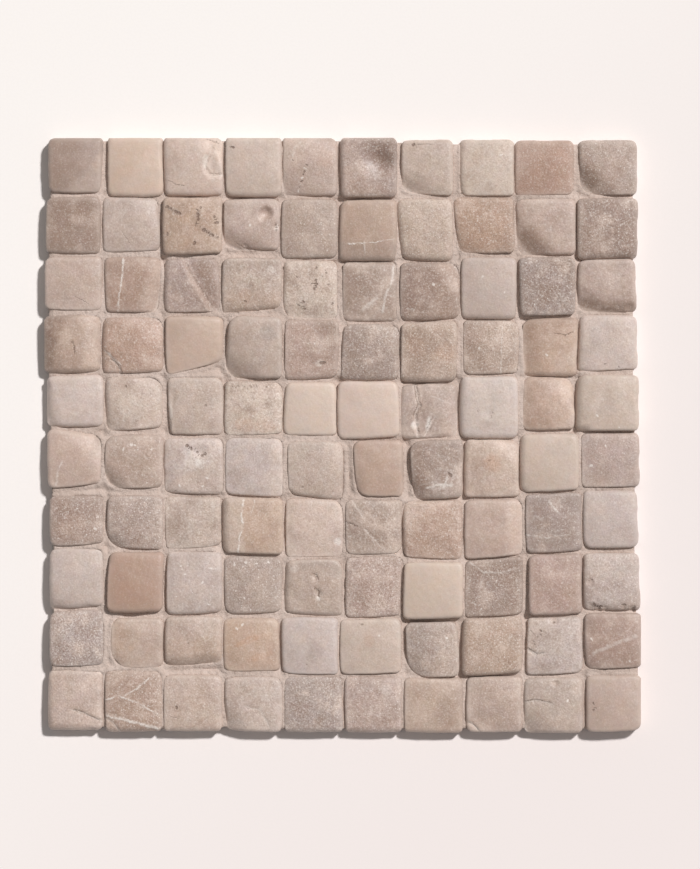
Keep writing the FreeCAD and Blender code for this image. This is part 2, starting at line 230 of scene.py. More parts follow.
def weave_tree(material):
    """Strands both ways, each raised and lowered so that it goes over one crossing and under the next."""
    tree, size = tree_with("woven_net", NET)
    layer = Layer(tree)

    def point(values):
        return layer.node("ShaderNodeCombineXYZ", {}, values)

    half = size["Length"] * 0.5
    edge = (size["Strands"] - 1) * size["Pitch"] * 0.5
    count = (size["Strands"] - 1) * 2 + 1
    ring = layer.node("GeometryNodeCurvePrimitiveCircle", {"mode": "RADIUS"}, {
        "Resolution": 4, "Radius": 1.0,
    })
    flat = point({0: size["Strand width"] * 0.5, 1: size["Strand height"] * 0.5})
    profile = layer.node("GeometryNodeTransform", {}, {"Geometry": ring, "Scale": flat})
    both = tree.nodes.new("GeometryNodeJoinGeometry")
    for along, across, lift in ((0, 1, 1), (1, 0, -1)):
        ends = {"Start": point({along: half * -1}), "End": point({along: half})}
        line = layer.node("GeometryNodeCurvePrimitiveLine", {"mode": "POINTS"}, ends)
        line = layer.node("GeometryNodeResampleCurve", {"mode": "COUNT"}, {"Curve": line, "Count": count})
        rack = layer.node("GeometryNodeMeshLine", {"mode": "OFFSET"}, {
            "Count": size["Strands"],
            "Start Location": point({across: edge * -1}),
            "Offset": point({across: size["Pitch"]}),
        })
        strands = layer.node("GeometryNodeInstanceOnPoints", {}, {"Points": rack, "Instance": line})
        strands = layer.node("GeometryNodeRealizeInstances", {}, {"Geometry": strands})
        x, y, _ = layer.node("GeometryNodeInputPosition", {}, {}).parts()
        wave_x = layer.sum_node("COSINE", x * math.pi / size["Pitch"])
        wave_y = layer.sum_node("COSINE", y * math.pi / size["Pitch"])
        height = wave_x * wave_y * size["Weave depth"] * lift + size["Middle"]
        rise = point({2: height})
        strands = layer.node("GeometryNodeSetPosition", {}, {"Geometry": strands, "Offset": rise})
        strands = layer.node("GeometryNodeSetCurveNormal", {"mode": "Z_UP"}, {"Curve": strands})
        side = layer.node("GeometryNodeCurveToMesh", {}, {
            "Curve": strands, "Profile Curve": profile, "Fill Caps": True,
        })
        tree.links.new(side.socket, both.inputs[0])
    close_tree(layer, Layer(tree, both.outputs[0]), material)
    return tree


net = shaped(new_piece("woven_net", bpy.data.meshes.new("woven_net")), weave_tree(woven_glass()), NET)
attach(net, "root")
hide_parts("backing_net")


# Stones
# A hundred pieces of limestone and marble, sawn about 27 mm square and tumbled until edges and corners
# wore round. Their faces keep pits, dents, chips, veins and cracks. They are laid by hand, face up.

CELL = 30.0
HALF_STONE = 13.5
RINGS = 24
SIDE_ROWS = 4
STONE_BACK = 0.5
EDGE_ROUND = (1.2, 2.5)
EDGE_DROP = 0.85
SIDE_SWELL = (0.15, 0.45)
CROWN_DROP = 0.35
CROWN_REACH = 3.0
PILLOW_DROP = 1.5
LOWEST_EDGE = 5.9
GROUT_LEVEL = 6.0
JOINT_MIDDLE = 1.2
WORN_LEAN = 0.3
GROUT_SMEAR = (203, 185, 174)
GROWTH_RIGHT = 0.85
GROWTH_FAR = 0.65
NARROWEST_JOINT = 0.7
VEINS = 3
LEDGES = 2
WEAR_DEPTH = 0.12 * MM
WEAR_SIZE = 7.0 * MM

TONES = {
    "cream": (200, 181, 167),
    "honey": (190, 165, 148),
    "gold": (187, 159, 139),
    "terracotta": (175, 148, 133),
    "tan": (182, 158, 142),
    "rose": (174, 147, 136),
    "blush": (186, 164, 153),
    "greige": (184, 165, 153),
    "pale": (193, 176, 169),
    "taupe": (162, 142, 132),
    "mauve": (172, 150, 142),
    "slate": (162, 144, 137),
    "bone": (220, 198, 184),
    "chalk": (240, 232, 225),
    "coffee": (146, 120, 105),
    "umber": (116, 90, 76),
    "rust": (190, 140, 106),
    "ash": (130, 120, 117),
}

# Marks of colour: all over, toward one side (0 right, 90 away), or in a patch. A wash is the stone's own
# tone. Sides and patches are its own colour too, and many of them also paint shade on flanks and hollows
# turned away from the lamp and light on edges and slopes turned toward it.
Wash = namedtuple("Wash", "tone amount")
Side = namedtuple("Side", "tone toward start soft amount")
Patch = namedtuple("Patch", "tone x y radius amount stretch turn", defaults=(1, 0))

# Marks of shape: a hollow, a worn flank, a break, and a step along a line
Dent = namedtuple("Dent", "x y across along depth turn", defaults=(0,))
Slope = namedtuple("Slope", "toward start depth")
Chip = namedtuple("Chip", "x y radius depth")
Ledge = namedtuple("Ledge", "points depth fall wall", defaults=(0.5,))

# Fine marks: a pale vein or a dark crack, a pale dot, a small hole, and the grain of the whole stone
Vein = namedtuple("Vein", "points width amount")
Dot = namedtuple("Dot", "x y radius", defaults=(0.6,))
Pit = namedtuple("Pit", "x y radius", defaults=(0.6,))
Grain = namedtuple("Grain", "specks pits mottle")

# Marks of the left and the lower edge: how round it is, how high the grout lies, how far it is drawn in
West = namedtuple("West", "rounding grout inset", defaults=(0,))
South = namedtuple("South", "rounding grout inset", defaults=(0,))

# What each stone shows, by row from the top and column from the left. Places are in mm from the middle of
# the stone's 30 mm cell, x to the right and y up. A vein with an amount below 0 is dark. A ledge drops to
# the right of its line, seen along it, and comes back to the face over its fall. A slope with a depth below
# 0 is a flank that was left full.
# Sides that begin well out toward a stone's edge darken or lighten that edge band. They are partly the
# stone's own colour, partly painted shade (coffee and umber, mostly toward the lower left, away from the
# lamp) and painted light (bone).
MARKS = {
    (1, 1): [
        Side("coffee", 180, -3, 8, 0.35), Wash("coffee", 0.32), Grain(0.1, 0.1, 0.2), West(1.8, 6),
        South(1.4, 6.2), Side("bone", 315, 6, 6, 0.3), Wash("umber", 0.03),
    ],
    (1, 2): [
        Wash("bone", 0.4), Side("bone", -30, 2, 1.5, 0.4), Grain(0, 0.05, 0.05), West(1.4, 5.7),
        South(2.3, 5.4, -0.8), Wash("gold", 0.32), Wash("cream", 0.15),
    ],
    (1, 3): [
        Wash("bone", 0.35),
        Ledge([(13, -5), (9, -5), (6.4, -2.4), (5.6, 0.6), (6.4, 4), (8.4, 7.4), (9, 9)], 1.2, 4, 0.9),
        Chip(12, 11.5, 4, 0.5), Vein([(-11.9, -7.1), (-8.1, -9.2), (-4.4, -9.6)], 0.7, -0.6),
        Vein([(7.5, 13.6), (12.5, 11.8)], 0.7, -0.7), Patch("chalk", 6.4, 2, 1.4, 0.5, 3.4, 85),
        Grain(0.05, 0.1, 0.3), Dent(9.5, 1.5, 3.5, 6, 0.6), Side("bone", 35, 11, 4, 0.6),
        West(2.3, 5.3, -0.4), South(2.8, 5), Slope(55, 6, 2), Side("bone", 315, 8, 5, 0.2),
    ],
    (1, 4): [
        Wash("bone", 0.32), Pit(-9.9, 9.7, 0.9), Pit(4, -8, 0.4), Grain(0.2, 0.2, 0.25), West(1, 6.2, 0.4),
        South(2.8, 4.5, -0.8),
    ],
    (1, 5): [
        Wash("terracotta", 0.15), Pit(-3, 0.8), Dot(-3.6, -0.9, 0.5), Pit(-4.2, -2.5, 0.7),
        Pit(-4.7, -4.2, 0.7), Dot(-5.2, -5.8, 0.5), Pit(-5.6, -7.4, 0.7), Dot(-6.1, -8.8, 0.5),
        Pit(-6.6, -10.2), Dot(-7.2, -12), Pit(-10, 3, 0.5),
        Vein([(-6, 12), (-9, 9.5), (-9.8, 5)], 1.2, 0.4), Slope(70, 5, 2), Patch("rust", 6, 4, 5, 0.15),
        Slope(240, 6, 2.2), Wash("tan", 0.1), West(1, 7.1, -0.4), South(1.8, 6),
        Side("bone", 135, 8, 6, 0.3),
    ],
    # On this stone the umber patches and the umber side toward the right paint shade over the upper right,
    # where the hollow's wall faces away from the lamp, on top of the stone's darker colour there. The bone
    # side toward the lower left is partly painted light on the slope below the hollow.
    (1, 6): [
        Wash("coffee", 0.2), Dent(2, 2, 10, 9.5, 2.4), Patch("umber", 7.5, 7.5, 8, 0.7),
        Side("rose", 215, 3, 6, 0.6), Grain(0.6, 0.3, 0.7), Patch("chalk", 0.5, -2, 2.4, 0.3, 2.8, -50),
        Patch("umber", -2, 10.5, 3, 0.35, 2.4), Side("umber", 10, 9, 4, 0.3), West(2.8, 5.6, -0.8),
        South(2.3, 4.9, -0.4), Slope(45, 4, -1.2), Side("bone", 215, 4, 6, 0.35),
    ],
    (1, 7): [
        Pit(-9.5, 11, 0.8), Pit(-7, 11.2, 0.5), Vein([(-8, 11), (-3.6, 11.4), (0, 11)], 0.5, -0.5),
        Slope(240, 5, 3.8), Wash("bone", 0.3), West(1.4, 6, -0.5), South(0.8, 6), Wash("coffee", 0.06),
    ],
    (1, 8): [
        Vein([(-1.6, 3.9), (-6, -0.5), (-11.8, -6.3)], 0.6, 0.35), Dot(4.3, 5.9, 0.7), West(2.8, 6.9, -0.4),
        South(1, 6.2), Wash("bone", 0.13),
    ],
    (1, 9): [
        Grain(0.5, 0.2, 0.4), Wash("rust", 0.3), West(1.4, 6.1, -0.4), South(0.8, 7.7),
        Side("bone", 135, 8, 6, 0.25), Wash("coffee", 0.2),
    ],
    # On this stone the coffee and umber sides toward the lower left are partly painted shade on the worn
    # flank, which faces away from the lamp.
    (1, 10): [
        Wash("greige", 0.35), Patch("rose", 0, 0, 8, 0.5), Side("coffee", 225, 4, 6, 0.7),
        Grain(0.8, 0.3, 0.6), Slope(225, 6, 4.2), Wash("blush", 0.25), Wash("bone", 0.15), West(2, 6, 0.5),
        South(0.8, 6), Side("coffee", 225, 8, 5, 0.35), Side("coffee", 225, 10, 5, 0.3),
        Side("umber", 225, 9, 4, 0.3),
    ],
    (2, 1): [
        Wash("coffee", 0.65), Grain(0.4, 0.2, 0.4), Side("coffee", 80, 4, 6, 0.35), West(1, 6),
        South(1.8, 6.7, 0.4), Slope(75, 5, -1.5), Wash("umber", 0.03),
    ],
    (2, 2): [
        Wash("greige", 0.4), Vein([(-5.5, -2.5), (-1.5, -8)], 0.6, -0.4), Grain(0.2, 0.1, 0.4),
        West(1.4, 6.1, -0.4), South(1, 6.9), Slope(45, 6, 1.8), Wash("gold", 0.16), Wash("coffee", 0.05),
    ],
    (2, 3): [
        Wash("tan", 0.3), Wash("coffee", 0.12), Patch("ash", -9.5, 8.2, 1.4, 0.35, 3, -30),
        Patch("ash", 8, -3, 1.5, 0.35, 3.4, -35), Patch("ash", 3, 6.5, 1.4, 0.3, 2, 60),
        Patch("rust", -4, 3.5, 3, 0.15), Grain(0.1, 0.2, 0.6), Pit(-12.8, 9.8, 0.8), Pit(-10.8, 8.9, 0.7),
        Pit(-8.6, 7.4, 0.9), Pit(-6.6, 6.6, 0.8), Pit(2.8, 5.9, 1), Pit(4.1, 9.3), Pit(2.6, 3.3, 1),
        Pit(1.5, 0.8), Pit(5.6, -1.8, 1.1), Pit(8, -3.2, 0.7), Pit(10.2, -4.4, 0.8), Pit(12.4, -5.6),
        Pit(11, 4.8, 0.7), Pit(12, 1.9, 0.8), Pit(1.1, -8.4, 0.9), Pit(-12.6, -3.8), West(1.8, 5.9, -0.4),
        South(1.8, 6.8, 0.8),
    ],
    # On this stone the chalk patch at (4.8, 4.8) is painted light on the dent's lower left wall, which faces
    # the lamp, and the coffee patch at (8.4, 8) is painted shade on its far wall.
    (2, 4): [
        Wash("greige", 0.2), Wash("rose", 0.15), Dent(6.5, 6.4, 4.3, 4.3, 2.3),
        Patch("chalk", 4.8, 4.8, 2, 0.25), Patch("coffee", 8.4, 8, 1.4, 0.5, 2, -45), Dot(-1.3, 0.7, 0.7),
        Pit(11.7, 0.8, 0.9), Pit(11.9, -1.8, 0.7), Chip(-4, -10.5, 2.2, 0.8),
        Vein([(-8.5, -8), (-5, -10.3), (-1, -12)], 0.6, -0.6), Slope(245, 4, 4.4),
        Side("coffee", 250, 6, 6, 0.3), West(1, 6), South(2, 6, 0.5), Wash("bone", 0.2),
        Side("bone", 135, 7, 5, 0.2), Chip(12.4, 0.2, 1.8, 0.8),
        Patch("chalk", 12, -0.8, 1.2, 0.5, 1.6, 90), Patch("umber", -3, -11.4, 1, 0.4, 4, -12),
    ],
    (2, 5): [
        Grain(0.55, 0.2, 0.45), Wash("taupe", 0.2), Wash("tan", 0.2), Wash("coffee", 0.18),
        West(1, 6.8, -0.8), South(1.8, 6.3),
    ],
    (2, 6): [
        Wash("taupe", 0.35), Vein([(-12, -8.5), (-3, -8.2), (10.4, -6.4)], 0.5, 0.9),
        Vein([(-5, -8.5), (-4, -12)], 0.4, -0.4), Side("ash", 270, 8, 5, 0.35), Grain(0.15, 0.2, 0.25),
        Wash("rust", 0.1), Vein([(-4.2, -8), (-3.6, -13)], 0.7, 0.5), West(1.8, 6.3, -0.8),
        South(3.3, 4.8, -0.4), Wash("gold", 0.12),
    ],
    (2, 7): [
        Wash("cream", 0.5), Grain(0.7, 0.1, 0.55), West(2.8, 6.6, -0.8), South(3.3, 5.3, -0.4),
        Wash("bone", 0.1),
    ],
    (2, 8): [
        Wash("rust", 0.32), Chip(8.6, 4.3, 2.2, 0.5), Grain(0.65, 0.2, 0.7), Slope(235, 6, 2.2),
        Side("coffee", 60, 8, 6, 0.25), West(1.4, 6.7, -0.8), South(1, 6.7, 0.8), Wash("gold", 0.05),
        Wash("coffee", 0.13),
    ],
    # On this stone the coffee and umber sides toward the lower left are partly the stone's own darker colour
    # and partly painted shade on the flank turned away from the lamp.
    (2, 9): [
        Side("coffee", 212, 4, 7, 0.6), Wash("greige", 0.35), Slope(222, 5, 4.6), Wash("blush", 0.58),
        Wash("rose", 0.2), Wash("bone", 0.19), West(2, 6, -0.5), South(2, 6),
        Side("coffee", 225, 7, 5, 0.4), Side("coffee", 225, 9, 5, 0.35), Wash("rust", 0.04),
        Side("umber", 225, 10.5, 3.5, 0.4),
    ],
    (2, 10): [
        Grain(0.9, 0.4, 0.8), Patch("chalk", -9, -7, 2, 0.35, 2, 60), Wash("coffee", 0.57),
        Wash("umber", 0.15), West(1.8, 5.8), South(4, 4.1, -1.2), Side("bone", 210, 8, 5, 0.3),
        Wash("rose", 0.2),
    ],
    (3, 1): [
        Wash("tan", 0.3), Vein([(1.2, -5), (7.8, -8.6)], 0.5, -0.5), Grain(0.2, 0.2, 0.35), West(1.4, 6),
        South(0.8, 7.6), Side("bone", 275, 8, 5, 0.2),
    ],
    (3, 2): [
        Wash("tan", 0.3), Vein([(-4.5, 13.9), (-5.2, 4), (-6.8, -5), (-7.3, -12.7)], 1, 0.8),
        Slope(-10, 7, 1.6), Wash("rust", 0.15), Wash("coffee", 0.42), West(1.4, 7, -0.4),
        South(1.4, 6.7, -0.4), Slope(345, 5, 2.2), Side("bone", 340, 6, 6, 0.35), Wash("umber", 0.02),
    ],
    (3, 3): [
        Ledge([(10.5, -13.5), (4, -3), (0, 3), (-4.5, 13.5)], 2.4, 5.5, 2.4),
        Patch("coffee", 8.5, 3, 3.6, 0.45, 3.4, 120), Grain(0.2, 0.5, 0.7), Patch("coffee", 0, 0, 12, 0.15),
        Patch("bone", 1.5, 0, 1.8, 0.15, 4, 122), West(2.8, 5.9, -0.4), South(1, 7, 0.4),
        Side("bone", 262, 9, 5, 0.2), Side("coffee", 315, 9, 5, 0.25), Wash("coffee", 0.08),
        Vein([(-3, 11), (1.6, 2.6), (5.4, -3), (9.6, -9)], 1.2, -0.6), Side("coffee", 315, 10, 5, 0.25),
    ],
    (3, 4): [
        Side("gold", 270, 3, 6, 0.4), Patch("rust", -4, -4, 3.4, 0.15), Patch("greige", -6, 4, 4, 0.3),
        Pit(-1, 0.6, 0.5), Pit(-3.6, -7.5), Patch("chalk", 9.2, 8.2, 2.6, 0.3), Slope(270, 6, 1.6),
        Grain(0.35, 0.5, 0.7), West(1.4, 6.5, -0.4), South(2.8, 6.9, 0.4), Slope(90, 5, -1.2),
        Wash("gold", 0.1),
    ],
    (3, 5): [
        Chip(1.4, 10.2, 1.5, 0.6), Pit(1.8, 9.4, 0.8), Chip(-8.5, 5.4, 2, 0.5), Pit(-8, 4.8, 0.8),
        Pit(1.6, 3.2, 0.7), Pit(2.2, 1.2, 0.7), Pit(0.8, -1.2, 0.8), Pit(-4.5, -7.5, 0.7),
        Pit(-4.2, -11.2, 0.7), Pit(-7, -9.4), Pit(10, -8.6, 0.7), Pit(6.8, 6.8), Pit(8.2, 1, 0.5),
        Grain(0.3, 0.8, 0.8), Slope(265, 8, 1.4), Vein([(1.6, 4.4), (1.2, -2.4)], 0.6, -0.4),
        West(2.3, 7, -0.4), South(0.8, 7.4), Slope(45, 6, 1.6), Side("bone", 180, 8, 4, 0.2),
        Wash("bone", 0.16), Patch("coffee", 0, 0, 5, 0.15),
    ],
    (3, 6): [
        Wash("taupe", 0.3), Wash("coffee", 0.46),
        Vein([(10.8, 10.8), (9.6, 2), (6.6, -4), (5.4, -12.4)], 1.3, 0.6),
        Vein([(-5, -11.6), (-1.5, -8.6), (2.2, -5.5)], 2, 0.5), Slope(45, 6, 2),
        Patch("bone", 0, -9, 4.6, 0.3, 1.6), Grain(0.3, 0.2, 0.6), Side("coffee", 190, 5, 6, 0.3),
        West(0.8, 7.3), South(1.8, 6.4), Side("bone", 290, 8, 5, 0.2), Wash("umber", 0.03),
    ],
    (3, 7): [
        Wash("coffee", 0.71), Side("terracotta", 0, 3, 6, 0.5), Dot(0.3, 1.1, 0.8), Grain(0.4, 0.3, 0.7),
        Slope(45, 5, 4), West(0.8, 7.3), South(2.8, 6, -1.2), Side("bone", 45, 10, 5, 0.3),
        Wash("umber", 0.05),
    ],
    (3, 8): [
        Dot(-5, 5, 0.4), Dot(6, -3, 0.4), Pit(2, 9, 0.4), Wash("greige", 0.5), Grain(0.15, 0.2, 0.2),
        West(1.4, 6.4), South(2.8, 4.9, -0.4), Wash("gold", 0.1), Wash("pale", 0.12),
    ],
    (3, 9): [
        Grain(1.05, 0.3, 0.85), Chip(5.6, -10.1, 1.4, 0.6), Dot(-5, -4.5), Side("coffee", 45, 7, 4, 0.35),
        Wash("coffee", 0.2), West(1.8, 5.8), South(1.4, 6.2, 0.4), Slope(45, 5, -1.8),
        Side("coffee", 45, 7, 5, 0.3), Side("coffee", 45, 9, 5, 0.3), Side("umber", 45, 11, 5, 0.25),
    ],
    # On this stone the coffee and umber sides toward the left and lower left are partly painted shade on the
    # worn flank, which faces away from the lamp.
    (3, 10): [
        Side("coffee", 270, 7, 4, 0.5), Dent(-2, -15, 12, 5, 1.3), Chip(4, -10.6, 2, 0.6),
        Slope(255, 3, 4.2), Slope(90, 4, -0.5), Dent(8.5, -10.5, 3.5, 3, 0.9), West(2, 6),
        South(2, 6, -0.4), Side("coffee", 262, 8, 5, 0.25), Side("coffee", 290, 9, 5, 0.25),
        Side("umber", 225, 9, 4, 0.3),
    ],
    # On this stone the stacked coffee and umber sides toward the left are partly painted shade on the side
    # turned away from the lamp, over the stone's own darker colour.
    (4, 1): [
        Wash("blush", 0.25), Side("umber", 180, 6.5, 5, 0.35),
        Vein([(0.2, 2.4), (0.9, -0.6), (1.2, -3)], 0.9, -0.9), Slope(190, 3, 2.6), Slope(0, 5, 2.2),
        Side("bone", 0, 5, 6, 0.35), Wash("rust", 0.05), Side("coffee", 150, 9, 5, 0.25), West(0.8, 6),
        South(3.3, 5.9, -0.4), Side("coffee", 180, 8, 4, 0.3), Wash("coffee", 0.11),
        Side("coffee", 150, 9, 4, 0.3), Side("coffee", 140, 10, 4, 0.3), Side("umber", 180, 10, 4, 0.3),
        Side("umber", 135, 12, 5, 0.3), Side("umber", 225, 12, 5, 0.2),
    ],
    (4, 2): [
        Wash("tan", 0.35), Ledge([(-12.2, -3.2), (-9.4, -6.2), (-6.2, -10.2), (-5.5, -14)], 0.8, 8),
        Patch("greige", -9.6, -9.6, 3.4, 0.8), Vein([(-12, -3.2), (-9.2, -6.4), (-6, -8.6)], 0.9, 0.7),
        Vein([(-10.6, -6.4), (-7.6, -9.2), (-5.2, -13)], 0.7, -0.7), Grain(0.6, 0.2, 0.6),
        Slope(45, 6, 2.4), Wash("rust", 0.2), West(2.8, 6.1, -0.4), South(1.8, 7, 0.4),
    ],
    (4, 3): [
        Wash("blush", 0.3), Grain(0, 0.05, 0.05), West(1, 6.8, 0.4), South(0.8, 7.7),
        Side("coffee", 135, 8, 5, 0.2), Wash("gold", 0.12),
    ],
    (4, 4): [
        Wash("slate", 0.35), Patch("ash", 7.6, 6.6, 4.5, 0.5), Slope(220, 3, 4.6), Grain(0.2, 0.2, 0.35),
        West(2, 6, 0.4), South(2, 6, -0.4), Wash("greige", 0.2), Wash("gold", 0.12),
    ],
    (4, 5): [
        Side("coffee", 45, 8, 5, 0.4), Pit(5.2, -8.2, 1.2), Patch("chalk", 3.4, -8.2, 1.8, 0.6),
        Dot(1.1, 1.2), Patch("blush", 1, 1, 7, 0.6), Grain(0.5, 0.2, 0.65), West(0.8, 7.4, 0.4),
        South(2.3, 6.3, -0.4), Slope(20, 3, -2.2), Side("coffee", 20, 6, 6, 0.3), Wash("bone", 0.17),
        Side("coffee", 30, 7, 6, 0.3), Patch("bone", 0, 0, 5, 0.2), Side("coffee", 70, 9, 5, 0.3),
    ],
    (4, 6): [
        Side("greige", 45, 4, 6, 0.6), Grain(0.85, 0.3, 0.75), Slope(45, 6, 2), West(1.4, 7.1, 0.4),
        South(2.8, 6.1, -0.4), Wash("coffee", 0.06), Wash("umber", 0.02),
    ],
    (4, 7): [
        Patch("rust", -8, 0, 6, 0.15), Patch("rust", 7, -3, 6, 0.2), Grain(0.65, 0.2, 0.75), West(0.8, 7.4),
        South(3.3, 5.4, -0.8),
    ],
    (4, 8): [
        Vein([(5, 10.2), (4.5, -2), (4.3, -14.3)], 0.7, 0.5), Dot(-6.7, -0.8), Wash("blush", 0.2),
        Side("coffee", 200, 4, 7, 0.35), Patch("bone", 4, 6, 5, 0.3), Grain(0.65, 0.2, 0.8), West(0.8, 7.7),
        South(1, 6.7, 0.4),
    ],
    (4, 9): [
        Vein([(2, 6.6), (6.1, 5.9), (10.2, 7.1)], 0.5, -0.8), Dot(-2.8, -4.3, 0.7),
        Side("coffee", 135, 2, 9, 0.4), Patch("bone", 3, -7, 6, 0.3), Side("coffee", 110, 6, 6, 0.3),
        Grain(0.15, 0.2, 0.4), West(0.8, 7.7), South(2.8, 5.1, -0.8), Wash("rust", 0.15),
        Wash("coffee", 0.06), Slope(190, 4, 1.8), Side("bone", 315, 8, 5, 0.3),
    ],
    (4, 10): [
        Wash("bone", 0.43), Pit(-4, -9, 0.5), Pit(3, -10.5, 0.5), Pit(8, -8, 0.4), Grain(0.2, 0.2, 0.35),
        West(2.8, 4.8, -0.4), South(1, 7.3, 0.8), Wash("pale", 0.33),
    ],
    (5, 1): [
        Wash("bone", 0.25), Grain(0.1, 0.1, 0.3), Slope(200, 5, 2.2), West(4.2, 6), South(2.3, 5.7),
    ],
    (5, 2): [
        Wash("bone", 0.3), Pit(-3.3, 10.1, 0.9), Slope(210, 5, 2.4), Slope(45, 8, 2),
        Patch("chalk", 0, 0, 8, 0.12), Grain(0.35, 0.2, 0.55), West(2.8, 5.8, -0.4), South(1.4, 6.8, 0.4),
        Side("bone", 315, 8, 5, 0.2), Side("bone", 315, 9, 4, 0.2),
    ],
    (5, 3): [
        Patch("bone", -10.2, 7, 2.6, 0.5, 1.6, 50), Patch("chalk", -11.4, -2, 1.6, 0.5, 3.4, 90),
        Dent(-10.5, 4, 3, 6, 0.6), Pit(6.6, 0.4), Vein([(-12, -5.6), (-10.6, -8.4), (-11, -11)], 0.7, -0.6),
        Side("coffee", 300, 4, 8, 0.1), West(1.8, 5.8, -0.8), South(1.4, 6.2), Wash("bone", 0.12),
        Side("bone", 315, 8, 5, 0.2), Side("bone", 180, 9, 4, 0.2), Wash("pale", 0.08),
    ],
    (5, 4): [
        Pit(-10.2, 10, 0.5), Pit(-7.1, 10.2, 0.5), Pit(-4, 9.9, 0.5), Pit(-1, 10, 0.5), Pit(2, 10.3, 0.5),
        Pit(7.1, 10), Patch("rust", -4, -9, 4, 0.3, 1.6), Patch("rust", 6, -10, 4, 0.3, 1.4),
        Side("coffee", 80, 8, 5, 0.35), Patch("bone", 0, -1, 6, 0.2), Grain(0.6, 0.2, 0.75),
        West(1.8, 6, -0.4), South(0.8, 7.7), Wash("bone", 0.23), Slope(70, 5, 2),
    ],
    (5, 5): [
        Wash("bone", 0.35), Grain(0, 0.05, 0.05), West(1.8, 6, -0.4), South(1.4, 7.3),
    ],
    (5, 6): [
        Wash("bone", 0.6), Grain(0, 0.05, 0.05), West(1.8, 5.5, -0.4), South(1.8, 5.6),
    ],
    (5, 7): [
        Wash("greige", 0.45),
        Ledge([(-8.1, -13), (-9.4, -4.2), (-7.2, 0.8), (-8.7, 8.2), (-9.3, 12)], 1.5, 4.5, 0.8),
        Vein([(0, 5.1), (8.8, 1.4)], 1, 0.5), Ledge([(-3.5, -13), (0, -6.5)], 1.1, 3, 0.8),
        Patch("chalk", -9, -9.4, 2.4, 0.9), Patch("coffee", -4, -1, 2.6, 0.4, 3, 90), Grain(0.15, 0.2, 0.5),
        Slope(-10, 5, 2.6), West(2.3, 7.2, -0.8), South(2.3, 6), Wash("bone", 0.14),
        Side("bone", 315, 8, 5, 0.3), Wash("pale", 0.1), Patch("chalk", -2, -8.6, 1.4, 0.8, 3, 80),
        Vein([(-9.3, 12), (-8.7, 8.2), (-7.2, 0.8), (-9.4, -4.2)], 0.7, -0.8),
        Vein([(-0.4, -6), (-2.6, -11)], 0.7, -0.6),
    ],
    (5, 8): [
        Wash("bone", 0.2), Dent(-2.1, -3.4, 4, 4, 0.4), Pit(-7.5, -2.4, 0.45), Pit(0, -3, 0.5),
        Pit(-1.9, -6.8, 0.4), Pit(-6.9, -9, 0.4), Pit(2.6, -9.4, 0.45), Grain(0.05, 0.2, 0.25),
        Slope(45, 4, -0.6), Wash("chalk", 0.12), West(3.3, 4.5, -0.4), South(2.8, 4.9, -0.4),
    ],
    (5, 9): [
        Wash("blush", 0.5), Wash("bone", 0.15), Slope(180, 3, 1), Slope(60, 4, 2.4),
        Side("bone", 40, 5, 5, 0.4), Side("coffee", 215, 5, 6, 0.4), Grain(0.15, 0.1, 0.4), West(0.8, 7.7),
        South(1.4, 5.8, 0.4), Wash("rust", 0.16), Side("bone", 315, 8, 5, 0.3),
    ],
    (5, 10): [
        Wash("cream", 0.5), Dot(-7.6, -4.6, 0.5), Dot(3.4, -10.6, 0.4), Patch("bone", -9, 0, 3, 0.3, 2, 60),
        Wash("bone", 0.12), Grain(0.15, 0.2, 0.25), West(4, 4.6, -0.8), South(1.4, 5.7, 0.4),
    ],
    (6, 1): [
        Wash("tan", 0.15), Wash("rust", 0.1), Wash("blush", 0.25),
        Vein([(-5.2, 2), (-7.4, -2), (-8.2, -9)], 1.3, 0.5), Slope(45, 6, 1.8),
        Patch("bone", -10.5, -10, 3, 0.35), Side("bone", 45, 9, 5, 0.3), Grain(0.1, 0.1, 0.3), West(1.8, 6),
        South(1, 7.1, 0.8),
    ],
    (6, 2): [
        Wash("tan", 0.45), Dot(-4.8, 8.3), Dot(-0.6, 10.9), Dot(1.2, 10.6, 0.5), Dot(4.8, -4),
        Dot(9.4, 8.6, 0.7), Dot(-7, 2, 0.4), Grain(0.5, 0.2, 0.5), Slope(225, 6, 3.2), West(0.8, 7.5),
        South(0.8, 7.4), Wash("coffee", 0.14), Dot(-4.4, 9.6, 0.4), Dot(2.6, 8.4, 0.4), Dot(7, -8, 0.4),
        Dot(8.4, -1, 0.4),
    ],
    (6, 3): [
        Wash("bone", 0.15), Dent(4, 7.5, 5, 4, 0.7), Chip(3.4, 6.4, 2.2, 0.5), Chip(6.4, 4.8, 2, 0.5),
        Pit(-2.6, 10.3, 0.9), Pit(-0.6, 9.3, 0.8), Pit(4.8, 5.4, 1), Pit(2.4, 7.2, 0.7), Pit(6.6, 6.6),
        Patch("chalk", 2.6, 2, 1.8, 0.5), Grain(0.2, 0.6, 0.6), Patch("chalk", 0, 4, 6, 0.3),
        Dot(7.4, -5.8), Dot(-6.6, -9.6), Dot(5, -10, 0.5), Slope(190, 5, 1.4), Side("tan", 300, 2, 7, 0.35),
        West(1.4, 6.3, -0.4), South(1.8, 6, 0.4),
    ],
    (6, 4): [
        Side("bone", 0, 9, 4, 0.4), Grain(0.3, 0.1, 0.45), West(0.8, 7.5), South(1.4, 6, -0.4),
    ],
    (6, 5): [
        Wash("bone", 0.1), Pit(-5, -10.3, 0.5), Pit(-2, -9.4, 0.4), Slope(0, 6, 0.8), Grain(0.35, 0.2, 0.5),
        West(0.8, 7.6), South(2.3, 5.9, -0.8), Side("bone", 350, 9, 4, 0.25),
    ],
    (6, 6): [
        Wash("rose", 0.3), Dent(-13, -13, 7, 7, 1.4), Grain(0, 0.1, 0.2), Slope(190, 4, 1),
        Wash("rust", 0.1), West(0.8, 7.4), South(1, 7.2, 1.2), Wash("slate", 0.1),
    ],
    (6, 7): [
